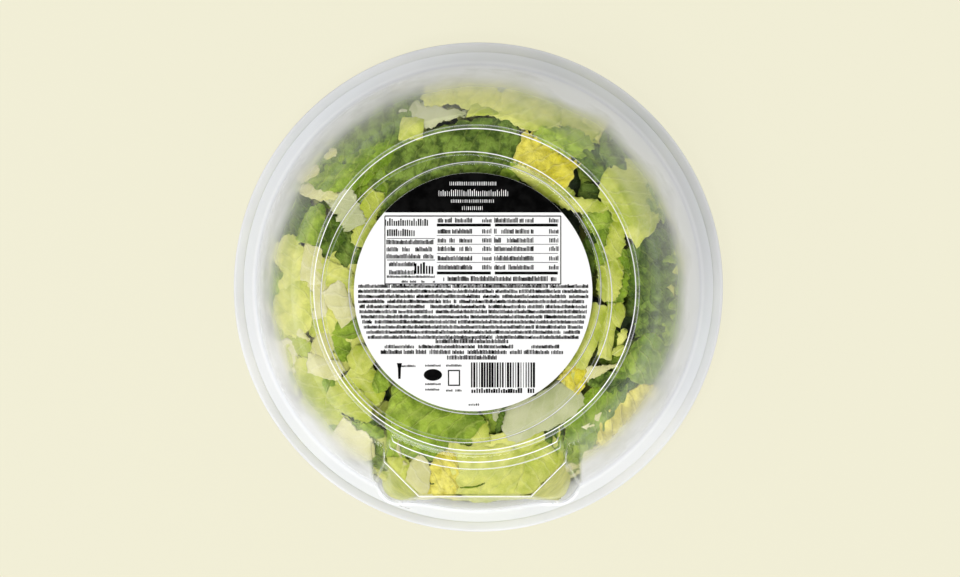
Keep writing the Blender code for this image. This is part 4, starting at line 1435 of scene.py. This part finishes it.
    def build_core(self) -> Piece:
        """Builds the heap under the leaves, whose dark colour is painted shade in the gaps between them."""
        form = Bowl(plain_columns=150, tab_columns=(10, 8, 12))
        angles, _ = form.columns()
        top = self.room.ceiling - self.core_inside + 0.9 * MM
        radii = np.array([0.0, 24.0, 42.0, 51.0, 56.4, 60.0]) * MM
        rows = [Bowl.ring_row(AXIS, radius, angles, top) for radius in radii]
        for height in np.linspace(top - 1.5 * MM, self.core_side[1], self.core_rows):
            x, y = TAB.outline(np.array([TAB.share(height)]), self.core_inside, form.tab_columns)
            reach, turn = Bowl.spread(x[0], y[0], len(angles))
            side = float(SHOULDER.radius(height + 0.5 * self.core_inside)) - self.core_inside
            radius = smooth_max(reach, np.full(len(angles), min(side, self.core_side[0])), 2.0 * MM)
            rows.append(Bowl.ring_row(AXIS, radius, turn, height))
        grid = np.array(rows)
        bumps = ripple(grid[:, :, 0] / (9 * MM), (grid[:, :, 1] + grid[:, :, 2]) / (9 * MM), 3, 9)
        grid *= 1.0 - 0.016 * (1.0 + bumps[:, :, None])
        foot = Bowl.ring_row(AXIS, self.core_foot[0], angles, self.core_foot[1])
        pole = Bowl.ring_row(AXIS, 0.0, angles, self.core_foot[1])
        grid = np.concatenate([grid, foot[None], pole[None]])
        faces = grid_faces(grid.shape[0], grid.shape[1], True)
        piece = mesh_piece("salad_core", grid.reshape(-1, 3), faces, self.core_finish())
        weld(piece)
        return self.placement.settle(piece)

    def core_finish(self) -> Material:
        """Builds the core's material: near-black green as painted shade, with the same blisters as the
        leaves.
        """
        material, sheet = new_material("core_painted_shade")
        place = sheet.place()
        mottle = self.effects.mottled(sheet, place, 90.0)
        cells = self.effects.place(sheet, self.effects.blisters, {"Vector": place, "Scale": 220.0}).outputs
        colour = sheet.blend(mottle, display(28, 42, 18), display(52, 72, 30))
        normal = sheet.bump(cells["Height"], 0.8 * MM)
        sheet.finish(sheet.principled({"Base Color": colour, "Roughness": 0.6, "Normal": normal}))
        return material

    def build(self) -> list[Piece]:
        """Builds the core and the leaves."""
        return [self.build_core(), *self.build_leaves()]


@dataclass(frozen=True)
class InkBlock:
    """A block of plain strokes on the label, in millimetres from the label's middle.

    Ink sets how few gaps it has, circle is the radius that bounds it, fill is the range of a
    stroke's width as a share of its column, and short is the least share of its full height.
    """

    x: float
    y: float
    width: float
    height: float
    columns: int
    rows: int
    tall: float
    ink: float = 0.62
    circle: float = 200.0
    seed: int = 1
    fill: Point = (0.6, 1.0)
    short: float = 0.62


class InkStrokes:
    """A Geometry Nodes tree that fills a block with rows of small plain strokes."""

    FLOATS = ("Width", "Height", "Tall", "Ink", "Circle", "Thin", "Thick", "Short")
    COUNTS = ("Columns", "Rows", "Seed")
    INPUTS: dict[str, str] = {
        **dict.fromkeys(FLOATS, "NodeSocketFloat"),
        **dict.fromkeys(COUNTS, "NodeSocketInt"),
        "Offset": "NodeSocketVector",
        "Material": "NodeSocketMaterial",
    }

    def __init__(self) -> None:
        """Builds the tree."""
        self.tree = bpy.data.node_groups.new("ink_strokes", "GeometryNodeTree")
        self.sockets = {
            key: self.tree.interface.new_socket(key, in_out="INPUT", socket_type=kind).identifier
            for key, kind in self.INPUTS.items()
        }
        self.tree.interface.new_socket("Geometry", in_out="OUTPUT", socket_type="NodeSocketGeometry")
        self._wire()

    def _wire(self) -> None:
        """Wires the tree: a grid of points, thinned to words, with a small block on each."""
        sheet = NodeSheet(self.tree)
        start = sheet.add("NodeGroupInput").outputs
        sizes = {"Size X": start["Width"], "Size Y": start["Height"]}
        counts = {"Vertices X": start["Columns"], "Vertices Y": start["Rows"]}
        grid = sheet.add("GeometryNodeMeshGrid", {**sizes, **counts}).outputs["Mesh"]
        moved = sheet.add("GeometryNodeTransform", {"Geometry": grid, "Translation": start["Offset"]})
        place = sheet.add("GeometryNodeInputPosition").outputs[0]
        spread = sheet.add("ShaderNodeVectorMath", {0: place, 1: (420.0, 2600.0, 0.0)}, operation="MULTIPLY")
        noise = {"Vector": spread.outputs[0], "Scale": 1.0, "Detail": 0.0}
        words = sheet.add("ShaderNodeTexNoise", noise).outputs[0]
        share = sheet.maths("MULTIPLY_ADD", start["Ink"], -0.42, 0.74)
        gaps = self._compare(sheet, words, share, "LESS_THAN")
        away = sheet.add("ShaderNodeVectorMath", {0: place}, operation="LENGTH").outputs["Value"]
        outside = self._compare(sheet, away, start["Circle"], "GREATER_THAN")
        drop = sheet.add("FunctionNodeBooleanMath", {0: gaps, 1: outside}, operation="OR").outputs[0]
        thinned = {"Geometry": moved.outputs[0], "Selection": drop}
        kept = sheet.add("GeometryNodeDeleteGeometry", thinned, domain="POINT")
        pitch = sheet.maths("DIVIDE", start["Width"], start["Columns"])
        wide = self._draw(sheet, start["Thin"], start["Thick"], start["Seed"])
        tall = self._draw(sheet, start["Short"], 1.0, sheet.maths("ADD", start["Seed"], 7.0))
        wide, tall = sheet.maths("MULTIPLY", pitch, wide), sheet.maths("MULTIPLY", start["Tall"], tall)
        size = sheet.add("ShaderNodeCombineXYZ", {0: wide, 1: tall, 2: 0.04 * MM})
        cube = sheet.add("GeometryNodeMeshCube", {"Size": (1.0, 1.0, 1.0)}).outputs["Mesh"]
        standing = sheet.add("GeometryNodeTransform", {"Geometry": cube, "Translation": (0.0, 0.5, 0.0)})
        inputs = {"Points": kept.outputs[0], "Instance": standing.outputs[0], "Scale": size.outputs[0]}
        strokes = sheet.add("GeometryNodeInstanceOnPoints", inputs)
        real = sheet.add("GeometryNodeRealizeInstances", {0: strokes.outputs[0]}).outputs[0]
        inked = sheet.add("GeometryNodeSetMaterial", {"Geometry": real, "Material": start["Material"]})
        sheet.add("NodeGroupOutput", {0: inked.outputs[0]})

    @staticmethod
    def _compare(sheet: NodeSheet, first: Socket, second: Socket, operation: str) -> Socket:
        """Whether the first number passes the second, up or down."""
        inputs = {0: first, 1: second}
        return sheet.add("FunctionNodeCompare", inputs, operation=operation, data_type="FLOAT").outputs[0]

    @staticmethod
    def _draw(sheet: NodeSheet, low: object, high: object, seed: Socket) -> Socket:
        """A random number for each stroke, in a range."""
        made = sheet.add("FunctionNodeRandomValue", {2: low, 3: high, "Seed": seed}, data_type="FLOAT")
        return made.outputs[1]

    def block(self, spec: InkBlock, material: Material) -> bpy.types.Mesh:
        """Runs the tree for one block.

        Args:
            spec: The block.
            material: Its ink.

        Returns:
            The strokes as a plain mesh, in metres from the label's middle.
        """
        carrier = bpy.data.objects.new("strokes", bpy.data.meshes.new("strokes"))
        bpy.context.scene.collection.objects.link(carrier)
        fill = carrier.modifiers.new("Strokes", "NODES")
        fill.node_group = self.tree
        values = {
            "Width": spec.width * MM,
            "Height": spec.height * MM,
            "Columns": spec.columns,
            "Rows": spec.rows,
            "Tall": spec.tall * MM,
            "Ink": spec.ink,
            "Circle": spec.circle * MM,
            "Offset": (spec.x * MM, (spec.y - 0.5 * spec.tall) * MM, 0.0),
            "Seed": spec.seed,
            "Thin": spec.fill[0],
            "Thick": spec.fill[1],
            "Short": spec.short,
            "Material": material,
        }
        for key, value in values.items():
            fill[self.sockets[key]] = value
        made_plain(carrier)
        mesh = carrier.data
        bpy.data.objects.remove(carrier, do_unlink=True)
        return mesh


@dataclass
class Label:
    """The round paper label, with a dark cap, ruled boxes and strokes in place of print."""

    effects: Effects
    radius: float = 46.8 * MM
    centre: Point = (-0.7 * MM, -1.0 * MM)
    foot: float = 63.3 * MM
    top: float = 63.65 * MM
    edge_cut: float = 0.06 * MM
    ink_lift: float = 0.03 * MM
    middle: Point = (473.3, 292.0)
    cap_chord: float = 31.2
    pixel: float = 0.392

    def across(self, pixel: float) -> float:
        """Millimetres right of the label's middle, from a column of the photo."""
        return (pixel - self.middle[0]) * self.pixel

    def up(self, pixel: float) -> float:
        """Millimetres above the label's middle, from a row of the photo."""
        return (self.middle[1] - pixel) * self.pixel

    def bar(self, left: float, right: float, row: float, tall: float) -> tuple[float, float, float, float]:
        """A solid bar: its lowest x, lowest y, width and height in millimetres, from places in the photo."""
        return self.across(left), self.up(row) - 0.5 * tall, (right - left) * self.pixel, tall

    def bars(self) -> list[tuple[float, float, float, float]]:
        """The rules and boxes of the label's table."""
        rows = [self.bar(385, 561, 216, 0.45), self.bar(385, 561, 284, 0.45)]
        for edge in (385, 561):
            rows.append((self.across(edge) - 0.2, self.up(284), 0.4, (284 - 216) * self.pixel))
        for left, right in ((437, 491), (495, 558)):
            rows += [self.bar(left, right, 225, 1.1), self.bar(left, right, 273, 1.1)]
            rows += [self.bar(left, right, row, 0.22) for row in (235.5, 244.2, 253.4, 262.4)]
        rows += [self.bar(387, 435, 238.5, 0.22), self.bar(387, 435, 260, 0.3)]
        return rows

    def line(
        self, column: float, row: float, width: float, count: int, tall: float, ink: float, **more: object
    ) -> InkBlock:
        """One line of strokes.

        Args:
            column: The column of the photo at its middle.
            row: The row of the photo at its middle.
            width: Its width in millimetres.
            count: How many strokes it has room for.
            tall: How tall a stroke is, in millimetres.
            ink: How few gaps it has.
            **more: Other values of the block.

        Returns:
            The line as a block of one row.
        """
        return InkBlock(self.across(column), self.up(row), width, 0.0, count, 1, tall, ink, **more)

    def blocks(self) -> list[InkBlock]:
        """The blocks of strokes in dark ink."""
        rows = [
            self.line(406.5, 222, 16.4, 20, 3.0, 1.4, seed=2, fill=(0.45, 0.85)),
            self.line(401, 232.3, 10.3, 13, 3.0, 1.4, seed=3, fill=(0.45, 0.85)),
            InkBlock(self.across(410), self.up(249), 18.0, 5.6, 36, 3, 1.9, 0.9, seed=4),
            InkBlock(self.across(402), self.up(268), 9.6, 3.2, 18, 2, 1.9, 1.0, seed=5),
            self.line(424, 268, 6.6, 7, 4.6, 1.6, seed=6),
            InkBlock(self.across(411), self.up(279), 18.5, 1.9, 46, 2, 1.0, 0.8, seed=7),
            self.line(500, 278.5, 44.0, 78, 2.0, 0.9, seed=8),
        ]
        for index, row in enumerate((220.0, 231.0, 240.0, 248.5, 258.0, 267.0)):
            rows.append(self.line(455, row, 13.0, 24, 2.0, 0.95, seed=10 + index))
            rows.append(self.line(487, row, 3.2, 6, 1.9, 1.5, seed=20 + index))
            rows.append(self.line(514, row, 15.0, 28, 2.0, 0.95, seed=30 + index))
            rows.append(self.line(554, row, 3.2, 6, 1.9, 1.5, seed=40 + index))
        rows += [
            InkBlock(0.0, self.up(311.5), 92.0, 20.0, 170, 11, 1.5, 1.15, 45.2, seed=50, fill=(0.65, 1.0)),
            self.line(472, 341, 28.0, 48, 1.8, 1.3, seed=51),
            self.line(472, 346.5, 68.0, 118, 1.5, 1.0, seed=52),
            self.line(472, 351.8, 71.0, 120, 1.8, 1.05, seed=53),
            self.line(472, 357.3, 19.0, 32, 1.8, 1.0, seed=54),
        ]
        for column, row in ((408, 366), (433, 384), (454, 390.5), (433, 389.5), (433, 365.5), (454, 365.5)):
            rows.append(self.line(column, row, 5.6, 12, 0.9, 1.2, seed=60 + column % 9))
        rows += [
            self.line(503, 375, 24.4, 25, 9.8, 1.6, seed=71, fill=(0.2, 0.98), short=1.0),
            self.line(503, 390.5, 24.0, 26, 2.0, 0.9, seed=72),
            self.line(474, 404.6, 3.6, 6, 0.9, 1.4, seed=73),
        ]
        return rows

    def cap_lines(self) -> list[InkBlock]:
        """The lines of pale strokes on the dark cap."""
        return [
            self.line(473, 183.4, 18.0, 26, 1.5, 1.2, seed=80, fill=(0.24, 0.46), short=0.9),
            self.line(473.5, 192.6, 27.0, 34, 2.7, 1.2, seed=81, fill=(0.2, 0.42)),
            self.line(472.5, 201, 16.5, 24, 1.3, 1.2, seed=82, fill=(0.2, 0.42), short=0.9),
            self.line(472.5, 208, 7.8, 11, 1.5, 1.2, seed=83, fill=(0.2, 0.42), short=0.9),
        ]

    def icon_shapes(self) -> list[list[Point]]:
        """Plain small shapes where the label has signs: a peg, an oval and a frame's four sides."""
        oval = [
            (self.across(433) + 3.6 * math.cos(turn), self.up(375) + 2.3 * math.sin(turn))
            for turn in np.linspace(0, 2 * math.pi, 28, endpoint=False)
        ]
        x, y = self.across(399.5), self.up(379)
        sides = ((-0.45, 0.0), (0.45, 0.0), (0.6, 4.2), (1.0, 6.2), (-1.0, 6.2), (-0.6, 4.2))
        peg = [(x + right, y + up) for right, up in sides]
        left, low, size, wide = self.across(448), self.up(386), 4.8, 0.5
        lying = [self.corners(left, low + lift, size, wide) for lift in (0.0, size + 1.0)]
        standing = [self.corners(left + shift, low, wide, size + 1.5) for shift in (0.0, size - wide)]
        return [oval, peg, *lying, *standing]

    @staticmethod
    def corners(x: float, y: float, width: float, height: float) -> list[Point]:
        """The corners of an upright rectangle."""
        return [(x, y), (x + width, y), (x + width, y + height), (x, y + height)]

    def cap_shape(self) -> list[Point]:
        """The outline of the dark cap, which the label's edge rounds off."""
        radius = self.radius / MM - 0.05
        low = math.asin(self.cap_chord / radius)
        turns = np.linspace(low, math.pi - low, 72)
        return [(radius * math.cos(turn), radius * math.sin(turn)) for turn in turns]

    @staticmethod
    def plates(shapes: Sequence[Sequence[Point]], lift: float) -> bpy.types.Mesh:
        """Thin flat plates of ink, one for each outline, as one mesh."""
        shape = bmesh.new()
        low, high = -0.02 * MM, lift
        for outline in shapes:
            rings = [[shape.verts.new((x * MM, y * MM, level)) for x, y in outline] for level in (high, low)]
            shape.faces.new(rings[0])
            shape.faces.new(rings[1][::-1])
            for index in range(len(outline)):
                after = (index + 1) % len(outline)
                shape.faces.new((rings[0][index], rings[1][index], rings[1][after], rings[0][after]))
        bmesh.ops.recalc_face_normals(shape, faces=shape.faces)
        mesh = bpy.data.meshes.new("plates")
        shape.to_mesh(mesh)
        shape.free()
        return mesh

    def join(self, name: str, meshes: Sequence[bpy.types.Mesh], level: float, ink: Material) -> Piece:
        """Joins print into one piece and sets it on the label."""
        shape = bmesh.new()
        for mesh in meshes:
            shape.from_mesh(mesh)
            bpy.data.meshes.remove(mesh)
        bmesh.ops.translate(shape, verts=shape.verts, vec=Vector((*self.centre, level)))
        mesh = bpy.data.meshes.new(name)
        shape.to_mesh(mesh)
        shape.free()
        mesh.materials.clear()
        mesh.materials.append(ink)
        piece = bpy.data.objects.new(name, mesh)
        bpy.context.scene.collection.objects.link(piece)
        return Placement("label").settle(piece)

    def ink(self, name: str, colour: Colour, rough: float) -> Material:
        """An ink that is a little uneven, as on coated paper."""
        material, sheet = new_material(name)
        mottle = self.effects.mottled(sheet, sheet.place(), 260.0)
        faded = tuple(min(1.0, value * 1.15 + 0.004) for value in colour)
        shade = sheet.blend(mottle, colour, faded)
        looks = {"Base Color": shade, "Roughness": rough, "Specular IOR Level": 0.04}
        sheet.finish(sheet.principled(looks))
        return material

    def build_disc(self) -> Piece:
        """Builds the paper disc, with a fine fibre relief."""
        material, sheet = new_material("label_paper")
        place = sheet.place()
        fibre = self.effects.mottled(sheet, place, 1500.0)
        cloud = self.effects.mottled(sheet, place, 60.0)
        colour = sheet.blend(cloud, display(250, 250, 250), display(254, 254, 253))
        looks = {"Base Color": colour, "Roughness": 0.55, "Specular IOR Level": 0.3}
        sheet.finish(sheet.principled({**looks, "Normal": sheet.bump(fibre, 0.02 * MM, 0.1)}))
        angles = np.linspace(0.0, 2 * math.pi, 180, endpoint=False)
        near, under = self.radius - self.edge_cut, self.top - self.edge_cut
        line = [(0.0, self.top), (0.6 * self.radius, self.top), (near, self.top)]
        line += [(self.radius, under), (self.radius, self.foot), (0.0, self.foot)]
        rows = np.concatenate([Bowl.ring_row(self.centre, radius, angles, height) for radius, height in line])
        piece = mesh_piece("label_disc", rows, grid_faces(len(line), len(angles), True), material)
        weld(piece)
        piece.data.set_sharp_from_angle(angle=math.radians(40))
        return Placement("label").settle(piece)

    def build(self) -> list[Piece]:
        """Builds the disc and the print on it."""
        strokes = InkStrokes()
        black = self.ink("black_ink", display(4, 4, 4), 0.5)
        dark = self.ink("text_ink", display(6, 6, 6), 0.5)
        pale = self.ink("pale_ink", display(248, 248, 248), 0.5)
        solid = [self.corners(*bar) for bar in self.bars()] + self.icon_shapes()
        print_meshes = [self.plates(solid, self.ink_lift)]
        print_meshes += [strokes.block(spec, dark) for spec in self.blocks()]
        cap = [self.plates([self.cap_shape()], self.ink_lift)]
        lines = [strokes.block(spec, pale) for spec in self.cap_lines()]
        return [
            self.build_disc(),
            self.join("label_cap", cap, self.top, black),
            self.join("label_print", print_meshes, self.top + 0.01 * MM, dark),
            self.join("label_cap_lines", lines, self.top + self.ink_lift, pale),
        ]


@dataclass
class Studio:
    """Pale floor, soft light and the camera, which looks almost straight down."""

    floor_colour: Colour = display(241, 238, 214)
    floor_side: float = 40.0
    lamp_distance: float = 1.6
    distance: float = 5.0
    lean: Point = (1.4, 1.0)
    frame_width: float = 380.6 * MM
    aim: tuple[float, float, float] = (0.68 * MM, -0.56 * MM, 10.0 * MM)

    def build_floor(self) -> None:
        """Lays the floor, which glows a little so that it stays even."""
        material, sheet = new_material("floor")
        mirrored = sheet.add("ShaderNodeLightPath").outputs["Is Glossy Ray"]
        level = sheet.maths("MULTIPLY_ADD", mirrored, -0.6, 0.9)
        glow = sheet.add("ShaderNodeEmission", {"Color": (*self.floor_colour, 1.0), "Strength": level})
        dim = tuple(0.1 * value for value in self.floor_colour)
        matt = sheet.add("ShaderNodeBsdfDiffuse", {"Color": (*dim, 1.0)})
        both = sheet.add("ShaderNodeAddShader", {0: glow.outputs[0], 1: matt.outputs[0]})
        sheet.finish(both)
        side = self.floor_side
        corners = [(-side, -side, 0.0), (side, -side, 0.0), (side, side, 0.0), (-side, side, 0.0)]
        floor = mesh_piece("floor", np.array(corners), np.array([[0, 1, 2, 3]]), material)
        floor.location.z = -0.05 * MM

    def build_sky(self) -> None:
        """Lights the room evenly from the sides, and leaves it dim overhead, behind the camera."""
        world = bpy.data.worlds.new("studio")
        bpy.context.scene.world = world
        world.use_nodes = True
        world.node_tree.nodes.clear()
        sheet = NodeSheet(world.node_tree)
        way = sheet.add("ShaderNodeTexCoord").outputs["Generated"]
        parts = sheet.add("ShaderNodeSeparateXYZ", {0: way}).outputs
        overhead = sheet.ease(parts[2], 0.78, 0.97, 1.0, 0.02)
        side = sheet.maths("MULTIPLY_ADD", parts[0], -0.1, 1.0)
        side = sheet.maths("MULTIPLY_ADD", parts[1], -0.35, side)
        mirrored = sheet.add("ShaderNodeLightPath").outputs["Is Glossy Ray"]
        hidden = sheet.maths("MULTIPLY", mirrored, sheet.ease(parts[2], 0.1, 0.5, 0.0, 0.75))
        side = sheet.maths("MULTIPLY", side, sheet.maths("SUBTRACT", 1.0, hidden))
        level = sheet.maths("MULTIPLY", sheet.maths("MULTIPLY", overhead, side), 0.8)
        sky = sheet.add("ShaderNodeBackground", {"Color": (1.0, 0.995, 0.98, 1.0), "Strength": level})
        sheet.add("ShaderNodeOutputWorld", {0: sky.outputs[0]})

    def build_lamp(self, name: str, azimuth: float, elevation: float, power: float, size: float) -> None:
        """Hangs a soft square lamp that faces the pack.

        Args:
            name: The lamp's name.
            azimuth: Its direction in plan, in degrees from +X.
            elevation: Its height above the horizon, in degrees.
            power: Its power in watts.
            size: Its side in metres.
        """
        lamp = bpy.data.lights.new(name, "AREA")
        lamp.energy, lamp.size = power, size
        holder = bpy.data.objects.new(name, lamp)
        turn, rise = math.radians(azimuth), math.radians(elevation)
        away = Vector((math.cos(turn) * math.cos(rise), math.sin(turn) * math.cos(rise), math.sin(rise)))
        holder.location = away * self.lamp_distance
        holder.rotation_euler = away.to_track_quat("Z", "Y").to_euler()
        holder.visible_glossy = False
        bpy.context.scene.collection.objects.link(holder)

    def build_camera(self) -> None:
        """Sets the camera at the photo's angle, far away with a long lens."""
        data = bpy.data.cameras.new("camera")
        data.lens = data.sensor_width * self.distance / self.frame_width
        data.clip_end = 100.0
        camera = bpy.data.objects.new("camera", data)
        lean_x, lean_y = (math.tan(math.radians(value)) for value in self.lean)
        away = Vector((lean_x, lean_y, 1.0)).normalized()
        camera.location = Vector(self.aim) + away * self.distance
        right = Vector((0.0, 1.0, 0.0)).cross(away).normalized()
        upright = Matrix((right, away.cross(right), away)).transposed()
        camera.rotation_euler = upright.to_euler()
        bpy.context.scene.collection.objects.link(camera)
        bpy.context.scene.camera = camera

    def build(self) -> None:
        """Builds the floor, the light and the camera."""
        bpy.context.scene.view_settings.view_transform = "Standard"
        bpy.context.scene.view_settings.look = "None"
        self.build_floor()
        self.build_sky()
        self.build_lamp("key", 232.0, 63.0, 11.0, 0.8)
        self.build_lamp("fill", 40.0, 50.0, 3.0, 1.2)
        self.build_camera()


def main() -> None:
    """Builds the pack and its studio, and notes the sizes of the pieces."""
    logging.basicConfig(level=logging.INFO, format="%(name)s %(message)s")
    effects = Effects()
    Studio().build()
    Placement("lid").settle(Lid().build(MilkyPlastic(effects).build()))
    Salad(effects).build()
    Label(effects).build()
    Placement("bowl").settle(Bowl().build(ClearPlastic(effects).build()))


if __name__ == "__main__":
    main()
